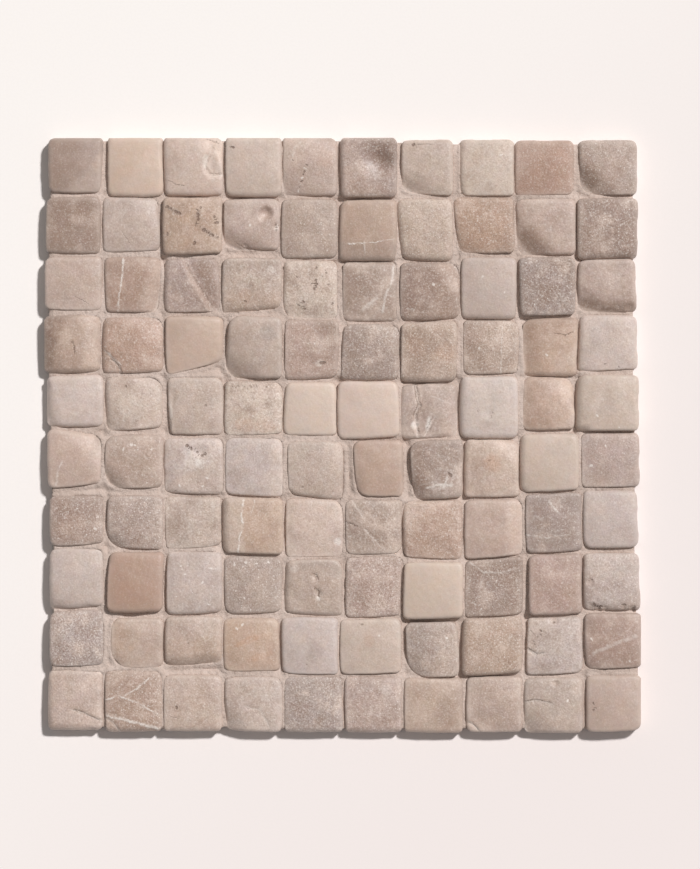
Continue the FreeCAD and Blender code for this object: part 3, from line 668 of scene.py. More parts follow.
        Side("coffee", 180, 2, 6, 0.5), Pit(8.8, -4.2, 1.1), Patch("chalk", 4, -10, 2, 0.3, 3, 8),
        Vein([(7.4, -5.5), (6.6, -8), (5.4, -10.4)], 1.3, 0.8),
        Vein([(9.5, -9.4), (2, -9.2), (-3, -10.8)], 1.4, 0.7), Vein([(2, -7.6), (-5, -9)], 0.9, 0.5),
        Grain(0.3, 0.2, 0.7), Slope(225, 5, 3.4), Slope(45, 4, -0.6), West(0.8, 6), South(2, 6, -0.4),
        Side("bone", 315, 7, 5, 0.3), Side("coffee", 45, 9, 4, 0.25),
    ],
    (6, 8): [
        Wash("blush", 0.3), Grain(0.2, 0.2, 0.5), Pit(-1.6, 3, 0.5), Wash("bone", 0.36),
        West(2.8, 5.8, -0.4), South(1.4, 6.2, 0.4), Slope(45, 6, 2), Patch("rust", 0, 1, 5, 0.35),
        Patch("bone", 6, 8, 3.5, 0.35, 1.4), Side("bone", 110, 9, 4, 0.3),
    ],
    (6, 9): [
        Wash("blush", 0.25), Grain(0.1, 0.2, 0.1), West(3.3, 4.9, -0.4), South(1.4, 6.1, 0.4),
        Side("bone", 135, 8, 5, 0.25), Wash("coffee", 0.06),
    ],
    (6, 10): [
        Grain(0.45, 0.2, 0.45), Dot(-3.5, 10.6), Dot(-10.6, 0.4, 0.7), West(0.8, 7.7), South(1, 6.9, 0.4),
        Side("bone", 250, 8, 5, 0.2), Side("bone", 225, 8, 5, 0.2), Wash("bone", 0.08),
    ],
    (7, 1): [
        Wash("coffee", 0.61), Patch("terracotta", 0, 0, 8, 0.5), Dot(11.4, -1.2, 0.9),
        Grain(0.85, 0.4, 0.75), West(1.4, 6), South(0.8, 7.4), Side("bone", 315, 8, 5, 0.2),
        Dot(-4, 4, 0.5), Dot(5, -7, 0.4), Dot(-7, -6, 0.4), Dot(2, 9, 0.4), Dot(7, -4, 0.5),
        Wash("umber", 0.05),
    ],
    (7, 2): [
        Wash("mauve", 0.3), Grain(0.9, 0.2, 0.7), Slope(225, 6, 2.4), Wash("bone", 0.12),
        West(1.4, 6.4, 0.4), South(1.4, 7.1, 0.4),
    ],
    (7, 3): [
        Grain(0.15, 0.1, 0.7), West(0.8, 7.3), South(0.8, 7.7), Wash("bone", 0.1),
        Side("bone", 180, 9, 4, 0.25),
    ],
    (7, 4): [
        Wash("honey", 0.4), Side("cream", 180, 4.5, 1.5, 0.7),
        Vein([(-4.6, 13), (-5.6, 6), (-4.6, 0), (-6.6, -6), (-7.1, -13)], 0.9, 1),
        Vein([(1, 12.5), (-0.5, 7.5)], 0.6, 0.8), West(4.2, 5.5, -0.4), South(1.4, 6.3, 0.4),
    ],
    (7, 5): [
        Wash("bone", 0.4), Chip(12.6, -7.3, 1.7, 0.5), Patch("chalk", 12.6, -7.3, 1.8, 0.8), West(1, 6),
        South(0.8, 7.3), Side("bone", 180, 8, 4, 0.25), Side("bone", 180, 9, 4, 0.2),
    ],
    (7, 6): [
        Wash("taupe", 0.3), Vein([(-12.5, 2), (-8.1, 0.1)], 1, -0.9),
        Ledge([(-5, 4.4), (-10.4, 12.6)], 0.3, 3), Ledge([(4.2, -10.4), (-3.8, -2.4)], 0.3, 3),
        Vein([(-0.5, -5), (1, -9)], 0.7, 0.5), Grain(0.35, 0.3, 0.75), Wash("coffee", 0.38), West(0.8, 7.4),
        South(0.8, 7.4), Side("bone", 270, 8, 5, 0.25),
    ],
    (7, 7): [
        Wash("blush", 0.2), Grain(0.75, 0.3, 0.6), Slope(110, 5, 2.2), Side("bone", 115, 6, 5, 0.5),
        Wash("rust", 0.15), West(2.3, 5.8), South(0.8, 7.3), Side("bone", 135, 8, 5, 0.3),
        Side("bone", 135, 10, 4, 0.25),
    ],
    (7, 8): [
        Grain(0.15, 0.1, 0.3), Slope(0, 5, 2), Side("bone", 0, 8, 4, 0.4), Wash("rust", 0.08),
        West(1.4, 6.9), South(1, 5.9), Wash("gold", 0.1), Wash("coffee", 0.06),
    ],
    (7, 9): [
        Vein([(-12.8, -4.3), (-3.1, -5.8), (7.1, -4.3)], 0.9, 0.6),
        Vein([(-1.5, 12.5), (0.5, 9.5), (3.5, 6.5)], 1.3, 0.6), Patch("bone", 10.5, 1, 2, 0.15, 3, 90),
        Wash("coffee", 0.2), Grain(0.5, 0.2, 0.55), West(0.8, 7.2), South(1.4, 6.2), Slope(90, 6, -1.2),
        Vein([(-8, 5), (-5.5, 3.5)], 1.2, 0.5), Patch("bone", 1, 10, 1.6, 0.1, 2, -40),
    ],
    (7, 10): [
        Grain(0.1, 0.15, 0.3), West(1.8, 6.2), South(1.8, 5.8), Wash("coffee", 0.05),
    ],
    (8, 1): [
        Wash("greige", 0.35), Grain(0.1, 0.1, 0.3), Slope(235, 8, 2.4), West(2.3, 6), South(3.3, 6.1),
    ],
    (8, 2): [
        Wash("coffee", 0.35), Pit(-8.5, -8, 0.4), Grain(0.05, 0.1, 0.1), Wash("rust", 0.25), West(0.8, 7.4),
        South(2.3, 6.5, 0.8), Wash("slate", 0.17), Wash("umber", 0.03),
    ],
    (8, 3): [
        Dot(-4, 6, 0.4), Dot(5, 2, 0.5), Dot(-8, -5, 0.4), Pit(3, -8, 0.4), Wash("greige", 0.3),
        West(1, 6.3, 0.8), South(2.3, 6.2), Dot(8, -9, 0.4), Dot(-6, 10, 0.4), Dot(9, 9, 0.4),
        Dot(0, -3, 0.4),
    ],
    (8, 4): [
        Wash("greige", 0.3), Grain(0.9, 0.2, 0.5), Dot(-9, 11), Dot(-3.5, 12, 0.7), Dot(2, 11.4),
        Dot(8, 12), Dot(-8.7, -2.3, 0.7), Dot(-4, -6), Dot(-1, -11.5, 0.7), West(1.4, 6.8), South(1.8, 6.6),
        Side("bone", 315, 8, 5, 0.15), Wash("coffee", 0.05),
    ],
    (8, 5): [
        Wash("tan", 0.15), Wash("coffee", 0.12), Dent(1.2, 4.8, 1.8, 2.6, 0.8, 30),
        Dent(2.8, -3, 1.6, 3.6, 1.1, 20), Vein([(0.6, 6.4), (2.4, 4.8), (3, 2.8)], 0.7, -0.6),
        Vein([(1.4, -0.6), (3, -3), (3.2, -5)], 1, -0.9), Patch("chalk", 2.8, -6, 1.6, 0.5),
        Patch("chalk", -9, 9, 2.5, 0.25), Grain(0.3, 0.3, 0.5), Slope(90, 5, -1.5), West(3.3, 6.1, 0.4),
        South(2.3, 6.4),
    ],
    (8, 6): [
        Wash("blush", 0.4), Grain(0.9, 0.2, 0.9), Chip(-13, -2, 2, 0.5), Chip(-13, 6, 1.8, 0.5),
        West(1.4, 6.2, 0.8), South(1.4, 6.6), Wash("slate", 0.06),
    ],
    (8, 7): [
        Grain(0, 0.05, 0.05), West(1.4, 6.7, 0.4), South(1.8, 4.7, 0.8), Wash("rust", 0.08),
    ],
    (8, 8): [
        Side("coffee", 90, 2, 7, 0.35), Dot(-5.4, -11.2), Dot(-8.6, -9, 0.5), Dot(-1, -12, 0.5),
        Grain(0.9, 0.4, 0.7), Vein([(-10.8, 11.9), (-4.7, 7.4), (3.5, 6.8), (12.7, 8.9)], 0.9, 0.5),
        Vein([(-3.6, 8), (-5, 3), (-6.4, -1)], 0.6, 0.4), Chip(-8.4, 9, 2, 0.5),
        Side("coffee", 0, 6, 6, 0.25), Side("bone", 220, 8, 6, 0.15), Wash("tan", 0.15), West(0.8, 7.5),
        South(1.4, 6, -0.4), Slope(80, 4, -2), Wash("coffee", 0.4), Side("coffee", 90, 9, 5, 0.25),
        Side("umber", 90, 11, 4, 0.15),
    ],
    (8, 9): [
        Patch("rose", 6, -1, 8, 0.3), Patch("terracotta", 8.4, -2, 4, 0.4), Grain(0.3, 0.2, 0.5),
        Patch("bone", -3, 7, 4, 0.3), Patch("coffee", 9.6, -4, 2.2, 0.35), Slope(225, 6, -1),
        Side("coffee", 45, 12, 4, 0.2), West(1.4, 6.2, 1.2), South(1.8, 6, 0.4),
        Side("coffee", 45, 9, 4, 0.25),
    ],
    (8, 10): [
        Wash("greige", 0.2), Chip(-10.6, -10, 1.9, 1), Chip(-7.6, -11.2, 1.8, 1), Chip(-4, -10.8, 1.6, 0.9),
        Chip(5, -10.2, 1.8, 0.9), Chip(9.6, -11.4, 1.8, 1), Chip(-11.4, 2.2, 1.8, 0.9), Pit(-9, -9, 0.9),
        Pit(-5.8, -10, 0.8), Pit(6, -9.4, 0.8), Pit(10.6, -11, 1), Pit(-10.4, 3.4, 0.8), Slope(265, 7, 1.8),
        Grain(0.6, 0.5, 0.55), Side("coffee", 270, 10, 3, 0.3), West(2.3, 5.2), South(1.8, 5.8, 0.4),
        Side("bone", 135, 8, 5, 0.25), Side("coffee", 315, 8, 5, 0.2),
    ],
    (9, 1): [
        Grain(0.9, 0.6, 1), Side("ash", 315, 6, 6, 0.4), Wash("mauve", 0.35), West(1.4, 6), South(0.8, 7.7),
        Wash("pale", 0.1), Patch("chalk", -3, 6, 5, 0.15), Patch("coffee", -8, 0, 4, 0.2),
        Side("bone", 135, 9, 5, 0.25),
    ],
    (9, 2): [
        Side("blush", 0, 0, 10, 0.6), Wash("tan", 0.2), Grain(0.3, 0.2, 0.35), West(0.8, 7.7),
        South(0.8, 7.7), Side("coffee", 225, 8, 6, 0.35), Side("bone", 90, 8, 5, 0.25),
        Side("coffee", 225, 9, 5, 0.25), Patch("rust", -1, -1, 2, 0.2), Patch("bone", 5, 9, 4, 0.25),
    ],
    (9, 3): [
        Side("pale", 90, 5, 8, 0.35), Patch("rose", -7, -1, 6, 0.3), Side("coffee", 270, 7, 5, 0.35),
        Pit(-2.1, 1.6, 0.5), Slope(275, 3, 3.2), Grain(0.3, 0.2, 0.5), West(1.8, 6), South(0.8, 6),
        Wash("bone", 0.08),
    ],
    (9, 4): [
        Patch("rust", -2, 3, 2, 0.35, 4, 20), Patch("rust", 4, -5, 2, 0.3, 4, 20), Dot(-8, 9),
        Dot(-5, 11, 0.5), Grain(0.2, 0.2, 0.35), West(1.4, 6.7), South(0.8, 7.6),
        Side("coffee", 315, 8, 5, 0.2), Wash("pale", 0.06),
    ],
    (9, 5): [
        Pit(-3, -9, 0.5), Grain(0.1, 0.1, 0.3), West(1.8, 5.5, 0.4), South(0.8, 7.4),
        Patch("slate", 2, -2, 4.5, 0.4, 1.5, 70), Patch("bone", -6, 4, 4, 0.25),
    ],
    (9, 6): [
        Wash("blush", 0.3), Pit(-5.4, 11), Dot(3.3, 5.4, 0.8), Patch("rust", -1.5, 3, 3.4, 0.15),
        Grain(0.15, 0.2, 0.25), West(1, 7.1, 0.4), South(0.8, 7, 0.4), Wash("coffee", 0.05),
    ],
    (9, 7): [
        Wash("greige", 0.2), Side("ash", 180, 3, 6, 0.4), Side("greige", 0, 2, 6, 0.5), Dot(6.9, 4.2, 0.8),
        Slope(225, 7, 2), Wash("bone", 0.15), Grain(0.55, 0.2, 0.7), West(0.8, 6), South(1, 6),
        Side("bone", 330, 6, 6, 0.3), Side("bone", 225, 8, 5, 0.3), Wash("coffee", 0.19),
    ],
    (9, 8): [
        Grain(0.8, 0.3, 0.6), Wash("rust", 0.06), Patch("gold", 3, 5, 7, 0.2), West(2.8, 5.6, 0.4),
        South(2.3, 5), Wash("coffee", 0.06),
    ],
    (9, 9): [
        Wash("greige", 0.2), Vein([(-11.7, -1.4), (-8, -3.6), (-5.1, -3.4)], 0.8, -0.7),
        Chip(0.5, 12.9, 2.3, 0.9), Pit(0.8, 12, 0.9), Pit(-6, 7.8, 0.7), Pit(-9, 1), Pit(-7.6, 4.6, 0.5),
        Ledge([(-12.5, -0.8), (-8, -3.4), (-4.5, -3)], 0.6, 3), Vein([(-10.8, 8), (-9.4, 6.4)], 0.6, -0.6),
        Grain(0.35, 0.3, 0.6), Side("bone", 135, 8, 5, 0.25), West(1.4, 5.7, 0.8), South(1, 6.5),
        Side("bone", 180, 9, 4, 0.15), Wash("bone", 0.06),
    ],
    (9, 10): [
        Wash("taupe", 0.2), Vein([(-9.6, -3.4), (0, 1), (11.8, 5.2)], 2.2, 0.45), Dot(8.6, -7.3),
        Dot(-10.6, 3.6), Wash("coffee", 0.48), Wash("rose", 0.2), Slope(225, 8, 1.4), West(1.4, 5.9, 0.4),
        South(0.8, 7.4), Side("coffee", 315, 8, 5, 0.2), Wash("umber", 0.03),
    ],
    (10, 1): [
        Ledge([(1, -1.6), (5, -2.6), (9, -4.6), (13.5, -6.6)], 0.9, 3.5), Pit(4.5, -6.9, 0.5),
        Grain(0.2, 0.2, 0.6), Vein([(1, -1.8), (5, -2.8), (9, -4.9), (13, -6.8)], 0.6, -0.5), West(3.3, 6),
        South(3.8, 6), Wash("bone", 0.1), Side("bone", 135, 9, 5, 0.25),
    ],
    (10, 2): [
        Wash("tan", 0.2), Wash("coffee", 0.12), Grain(0.8, 0.4, 0.7),
        Vein([(-14, 3.2), (-7.3, 5.4), (2.2, 2), (12.6, -4)], 1, 0.8),
        Vein([(-3.5, 5.6), (2, 9), (8, 14)], 0.9, 0.7),
        Vein([(-13.5, -4.6), (0, -7.6), (12.6, -11)], 1.6, 1),
        Ledge([(-12.8, -5.6), (-9.6, -7.6), (-6.4, -11.6)], 0.5, 3), West(1, 6.7, 0.4), South(3.3, 6),
    ],
    (10, 3): [
        Wash("honey", 0.3), Grain(0.3, 0.4, 0.6), Pit(-8, -0.7, 0.9),
        Vein([(-11, -5), (-7, -6)], 0.4, -0.5), Patch("gold", 3, 4, 6, 0.4), Wash("bone", 0.12),
        West(0.8, 7.7), South(2.8, 6), Wash("pale", 0.29),
    ],
    (10, 4): [
        Wash("bone", 0.3), Ledge([(-2.5, 0.2), (3.1, -1), (7.7, -7.1), (8.5, -10)], 0.45, 4),
        Slope(225, 6, 2.6), Slope(60, 4, -0.5), Grain(0.4, 0.2, 0.55), West(1.8, 7, 0.4), South(1.8, 6),
        Wash("pale", 0.44), Side("coffee", 100, 9, 5, 0.2),
    ],
    (10, 5): [
        Wash("greige", 0.2), Grain(1, 0.3, 0.85), West(0.8, 7.7), South(2.8, 6), Wash("pale", 0.12),
    ],
    (10, 6): [
        Wash("blush", 0.35), Patch("chalk", 7, 8, 2.6, 0.25, 1.5), Grain(0.8, 0.2, 0.65),
        West(1.4, 6.2, 0.4), South(3.3, 6), Wash("pale", 0.26),
    ],
    (10, 7): [
        Wash("tan", 0.2), Side("coffee", 0, 4, 7, 0.4), West(1, 6.8, 0.4), South(2.3, 6),
        Wash("slate", 0.13),
    ],
    (10, 8): [
        Wash("tan", 0.35), Ledge([(-13.5, -7), (-10.6, -7.6), (-7.6, -10.2), (-5.6, -13.5)], 0.6, 6, 0.9),
        Patch("bone", -10.8, -11, 3.4, 0.5), Wash("coffee", 0.34), Grain(0.35, 0.3, 0.45),
        Vein([(-12.6, -8), (-10, -8.8), (-7.6, -11.4)], 0.6, -0.6), Side("bone", 60, 9, 5, 0.2),
        West(1.4, 6.4, 0.8), South(1.4, 6), Side("bone", 150, 8, 5, 0.2), Wash("slate", 0.13),
        Side("bone", 225, 8, 5, 0.3), Side("bone", 225, 9, 4, 0.2),
    ],
    (10, 9): [
        Wash("taupe", 0.15), Vein([(-13.3, 2.6), (-8.2, 3.6), (-1, 2)], 0.6, -0.8),
        Dent(1.5, 11.7, 2.5, 2, 0.9), Dot(7.4, 2.6, 0.7),
        Ledge([(-13.5, 2.4), (-8.2, 3.4), (-1, 1.8)], 0.35, 3), Slope(225, 6, 2.4), West(1.8, 6.7, 0.4),
        South(2.3, 6),
    ],
    (10, 10): [
        Wash("tan", 0.2), Pit(-9.6, 1.6), Pit(-9.6, -1.8), Grain(0.15, 0.2, 0.15), West(1.8, 6.1, 0.4),
        South(1.4, 6), Wash("coffee", 0.13),
    ],
}


def waves(seed, x, y, size):
    """Soft ups and downs from 0 to 1, about one size in mm long, the same on every run."""
    dice = random.Random(seed)
    total = 0 * x
    for count in range(6):
        turn = dice.uniform(0, math.tau)
        pace = math.tau / (size * dice.uniform(0.7, 1.7))
        total = total + np.sin((x * math.cos(turn) + y * math.sin(turn)) * pace + dice.uniform(0, math.tau))
    return 0.5 + total / 12


def step_up(values):
    """0 below 0, 1 above 1, and a soft step between."""
    held = np.clip(values, 0, 1)
    return held * held * (3 - 2 * held)


def shade(tone):
    """A tone of the palette as light, without its alpha."""
    return np.array(linear(*tone)[:3])


def turned(x, y, degrees):
    """The same places, measured along a direction and across it."""
    way = math.radians(degrees)
    return x * math.cos(way) + y * math.sin(way), y * math.cos(way) - x * math.sin(way)


def smoothed(line, times):
    """A closed line, or a value along it, with each point drawn a little toward its neighbours."""
    for count in range(times):
        line = (np.roll(line, 1, axis=0) + 2 * line + np.roll(line, -1, axis=0)) / 4
    return line


def outward_of(outline):
    """The direction out of a closed outline at each of its points, which run anticlockwise."""
    run = np.roll(outline, -1, axis=0) - np.roll(outline, 1, axis=0)
    return np.column_stack([run[:, 1], -run[:, 0]]) / np.linalg.norm(run, axis=1)[:, None]


def distance_inside(points, outline):
    """How far each point is from a closed outline, and whether it lies inside it."""
    start = outline
    run = np.roll(outline, -1, axis=0) - start
    length = (run ** 2).sum(1)
    off = points[:, None, :] - start[None]
    share = np.clip((off * run[None]).sum(2) / length, 0, 1)
    gap = off - share[..., None] * run[None]
    distance = np.sqrt((gap ** 2).sum(2)).min(1)
    y = points[:, 1][:, None]
    above = (start[None, :, 1] > y) != (np.roll(start, -1, axis=0)[None, :, 1] > y)
    rise = np.where(np.abs(run[:, 1]) < 1e-9, 1e-9, run[:, 1])
    cut = start[None, :, 0] + (y - start[None, :, 1]) / rise[None] * run[None, :, 0]
    inside = (above & (points[:, 0][:, None] < cut)).sum(1) % 2 == 1
    return distance, inside


def sawn_stones(node):
    """Each stone of a node's solid, in mm: its outline on the net in order, and the plane of its face."""
    shell = bmesh.new()
    shell.from_mesh(node.data)
    bmesh.ops.remove_doubles(shell, verts=shell.verts, dist=1e-6)
    left = set(shell.verts)
    found = []
    while left:
        group = []
        edge = [left.pop()]
        while edge:
            corner = edge.pop()
            group.append(tuple(corner.co / MM))
            near = {e.other_vert(corner) for e in corner.link_edges} & left
            left -= near
            edge += near
        points = np.array(sorted(group))
        foot = points[points[:, 2] < STONE_BACK + 0.01][:, :2]
        middle = foot.mean(0)
        turns = np.arctan2(foot[:, 1] - middle[1], foot[:, 0] - middle[0])
        foot = foot[np.argsort(turns)]
        face = points[distance_inside(points[:, :2], foot)[0] > 2.0]
        terms = np.column_stack([face[:, 0], face[:, 1], np.ones(len(face))])
        plane = np.linalg.lstsq(terms, face[:, 2], rcond=None)[0]
        found.append((foot, plane))
    shell.free()
    return found


def worn_outline(foot, seed):
    """The sawn outline after tumbling: corners rounded off, sides a little swollen, edges worn wavy."""
    steps = 40
    dense = np.concatenate([
        a + (b - a) * (np.arange(steps) / steps)[:, None] for a, b in zip(foot, np.roll(foot, -1, axis=0))
    ])
    corners = [int(np.argmax(dense @ np.array(way))) for way in ((1, 1), (-1, 1), (-1, -1), (1, -1))]
    parts = []
    for first, last in zip(corners, corners[1:] + corners[:1]):
        count = (last - first) % len(dense)
        side = dense[(first + np.arange(count + 1)) % len(dense)]
        walked = np.concatenate([[0], np.cumsum(np.linalg.norm(np.diff(side, axis=0), axis=1))])
        places = np.linspace(0, walked[-1], 2 * RINGS + 1)[:-1]
        parts.append(np.column_stack([np.interp(places, walked, side[:, axis]) for axis in (0, 1)]))
    line = smoothed(np.concatenate(parts), 6)
    worn = 0.22 * waves(seed, *line.T, 8) + 0.12 * waves(seed + 1, *line.T, 2.5) - 0.06
    dice = random.Random(seed + 9)
    swell = np.repeat([dice.uniform(*SIDE_SWELL) for side in range(4)], 2 * RINGS)
    share = np.tile(np.arange(2 * RINGS) / (2 * RINGS), 4)
    return line - outward_of(line) * (worn - 4 * swell * share * (1 - share))[:, None]


def marked(row, column, kind):
    """The stone's own mark of one kind."""
    return [mark for mark in MARKS[(row, column)] if isinstance(mark, kind)][0]


def filled_out(outline, others, west, south):
    """The outline grown to the right and away, drawn in or out at the left and below, off its neighbours."""
    outward = outward_of(outline)
    gap = np.min([distance_inside(outline, other)[0] for other in others], axis=0)
    wanted = GROWTH_RIGHT * np.clip(outward[:, 0], 0, None) + GROWTH_FAR * np.clip(outward[:, 1], 0, None)
    wanted = wanted * np.where(gap > 12, 0.5, 1.0)
    wanted -= west.inset * np.clip(-outward[:, 0], 0, None) + south.inset * np.clip(-outward[:, 1], 0, None)
    room = np.clip(np.minimum(wanted, gap - NARROWEST_JOINT), 0, None)
    grown = smoothed(np.where(wanted > 0, room, wanted), 5)
    low, high = [np.array(corner[:2]) / MM for corner in cad_box]
    return np.clip(outline + outward * grown[:, None], low + 0.02, high - 0.02)


def face_grid():
    """A stone's face is a square grid of rings: each point's ring, and its place round the outline."""
    side = np.arange(-RINGS, RINGS + 1)
    i, j = np.meshgrid(side, side, indexing="ij")
    ring = np.maximum(abs(i), abs(j))
    safe = np.maximum(ring, 1)
    quarter = 2 * RINGS
    place = np.where(j == ring, quarter * (ring - i) / (2 * safe), 0.0)
    place = np.where((i == -ring) & (j < ring), quarter + quarter * (ring - j) / (2 * safe), place)
    place = np.where((j == -ring) & (i > -ring), 2 * quarter + quarter * (i + ring) / (2 * safe), place)
    right = (i == ring) & (j > -ring) & (j < ring)
    place = np.where(right, 3 * quarter + quarter * (j + ring) / (2 * safe), place)
    return ring.ravel(), place.ravel() % (4 * quarter)


def face_points(outline, ring, place):
    """Where the points of the grid lie on a stone, closer together toward its outline."""
    middle = outline.mean(0)
    around = len(outline)
    low = np.floor(place).astype(int) % around
    share = (place - np.floor(place))[:, None]
    edge = outline[low] * (1 - share) + outline[(low + 1) % around] * share
    spread = (1 - (1 - ring / RINGS) ** 1.5)[:, None]
    return middle + spread * (edge - middle)


def line_field(x, y, points, amount, half, taper):
    """Three values a point: distance to either side of a line, its strength here and its half width."""
    best = np.full(len(x), 1e9)
    side = np.zeros(len(x))
    held = np.zeros(len(x))
    last = len(points) - 2
    for count, ((ax, ay), (bx, by)) in enumerate(zip(points, points[1:])):
        length = math.hypot(bx - ax, by - ay)
        ux = (bx - ax) / length
        uy = (by - ay) / length
        along = (x - ax) * ux + (y - ay) * uy
        over = (x - ax) * -uy + (y - ay) * ux
        beyond = np.maximum(-along, along - length)
        reach = np.hypot(over, np.maximum(beyond, 0))
        open_end = np.zeros(len(x))
        if count == 0:
            open_end = np.maximum(open_end, -along)
        if count == last:
            open_end = np.maximum(open_end, along - length)
        near = reach < best
        best = np.where(near, reach, best)
        side = np.where(near, over, side)
        held = np.where(near, np.clip(1 - open_end / taper, 0, 1), held)
    return np.column_stack([side, held * amount, np.full(len(x), half)])


def spot_field(x, y, spots, dice):
    """Three values a point: the way along and across to the nearest dot or pit, and its radius."""
    field = np.tile([50.0, 50.0, 0.0], (len(x), 1))
    best = np.full(len(x), 1e9)
    for spot_x, spot_y, radius in spots:
        way = dice.uniform(0, math.pi)
        stretch = dice.uniform(1.0, 1.9)
        along, across = turned(x - spot_x, y - spot_y, math.degrees(way))
        along /= stretch
        reach = np.hypot(along, across) - abs(radius)
        near = reach < best
        best = np.where(near, reach, best)
        field[near] = np.column_stack([along, across, np.where(reach < 1.7, radius, 0)])[near]
    return field


def grout_level(x, y):
    """How high the grout lies, as the stones tell it for the joints along their left and lower edges."""
    plain = 0.05
    total = np.full(x.shape, plain * GROUT_LEVEL)
    weight = np.full(x.shape, plain)
    for stone, outline in zip(laid, laid_outlines):
        middle = outline.mean(0)
        for kind, across, along in ((West, 0, 1), (South, 1, 0)):
            level = marked(stone.row, stone.column, kind).grout
            edge = outline[abs(outline[:, along] - middle[along]) < 8][:, across].min() - JOINT_MIDDLE
            off = np.stack([x, y])
            near = np.exp(-((off[across] - edge) / 2.0) ** 2)
            near *= np.exp(-(np.clip(abs(off[along] - middle[along]) - 9, 0, None) / 3.5) ** 2)
            total += near * level
            weight += near
    return total / weight


def edge_wear(x, y, distance, row, column, seed):
    """How far the rim of a stone is rounded down, by the distance from its outline."""
    turn = np.arctan2(y, x)
    least, most = EDGE_ROUND
    rounding = least + (most - least) * waves(seed + 2, 9 * np.cos(turn), 9 * np.sin(turn), 9)
    for kind, faced in ((West, -x - abs(y)), (South, -y - abs(x))):
        worn = marked(row, column, kind).rounding
        rounding += (worn - rounding) * step_up(faced / 5 + 0.5)
    near = np.clip(rounding - distance, 0, None)
    drop = EDGE_DROP * (rounding - np.sqrt(np.clip(rounding ** 2 - near ** 2, 0, None)))
    return drop + CROWN_DROP * np.exp(-distance / CROWN_REACH)


def cover_of(mark, x, y, wavy):
    """How much of each point the colour of a wash, a side or a patch covers."""
    if isinstance(mark, Wash):
        return np.full(len(x), float(mark.amount))
    if isinstance(mark, Side):
        along = turned(x, y, mark.toward)[0] + 2 * wavy
        return mark.amount * step_up((along - mark.start) / mark.soft + 0.5)
    along, across = turned(x - mark.x, y - mark.y, mark.turn)
    reach = np.hypot(along / mark.stretch, across) / mark.radius + 0.35 * wavy / 0.8
    return mark.amount * step_up((1.15 - reach) / 0.6)


def closed_stone(flat, top, ring, place):
    """The points and faces of a stone, the top, then the sides down to the net, then the back."""
    wide = 2 * RINGS + 1
    number = np.arange(wide * wide).reshape(wide, wide)
    corners = [number[:-1, :-1], number[1:, :-1], number[1:, 1:], number[:-1, 1:]]
    quads = [np.column_stack([corner.ravel() for corner in corners])]
    rim = np.nonzero(ring == RINGS)[0]
    rim = rim[np.argsort(place[rim])]
    points = [np.column_stack([flat, top])]
    picks = [np.arange(wide * wide)]
    above = rim
    for step in range(1, SIDE_ROWS + 1):
        share = step / SIDE_ROWS
        height = top[rim] * (1 - share) + STONE_BACK * share
        points.append(np.column_stack([flat[rim], height]))
        here = wide * wide + (step - 1) * len(rim) + np.arange(len(rim))
        quads.append(np.column_stack([above, here, np.roll(here, -1), np.roll(above, -1)]))
        picks.append(rim)
        above = here
    points.append([[*flat[ring == 0][0], STONE_BACK]])
    picks.append([rim[0]])
    fan = np.column_stack([np.roll(above, -1), above, np.full(len(rim), above[-1] + 1)])
    return np.concatenate(points), np.concatenate(quads), fan, np.concatenate(picks)


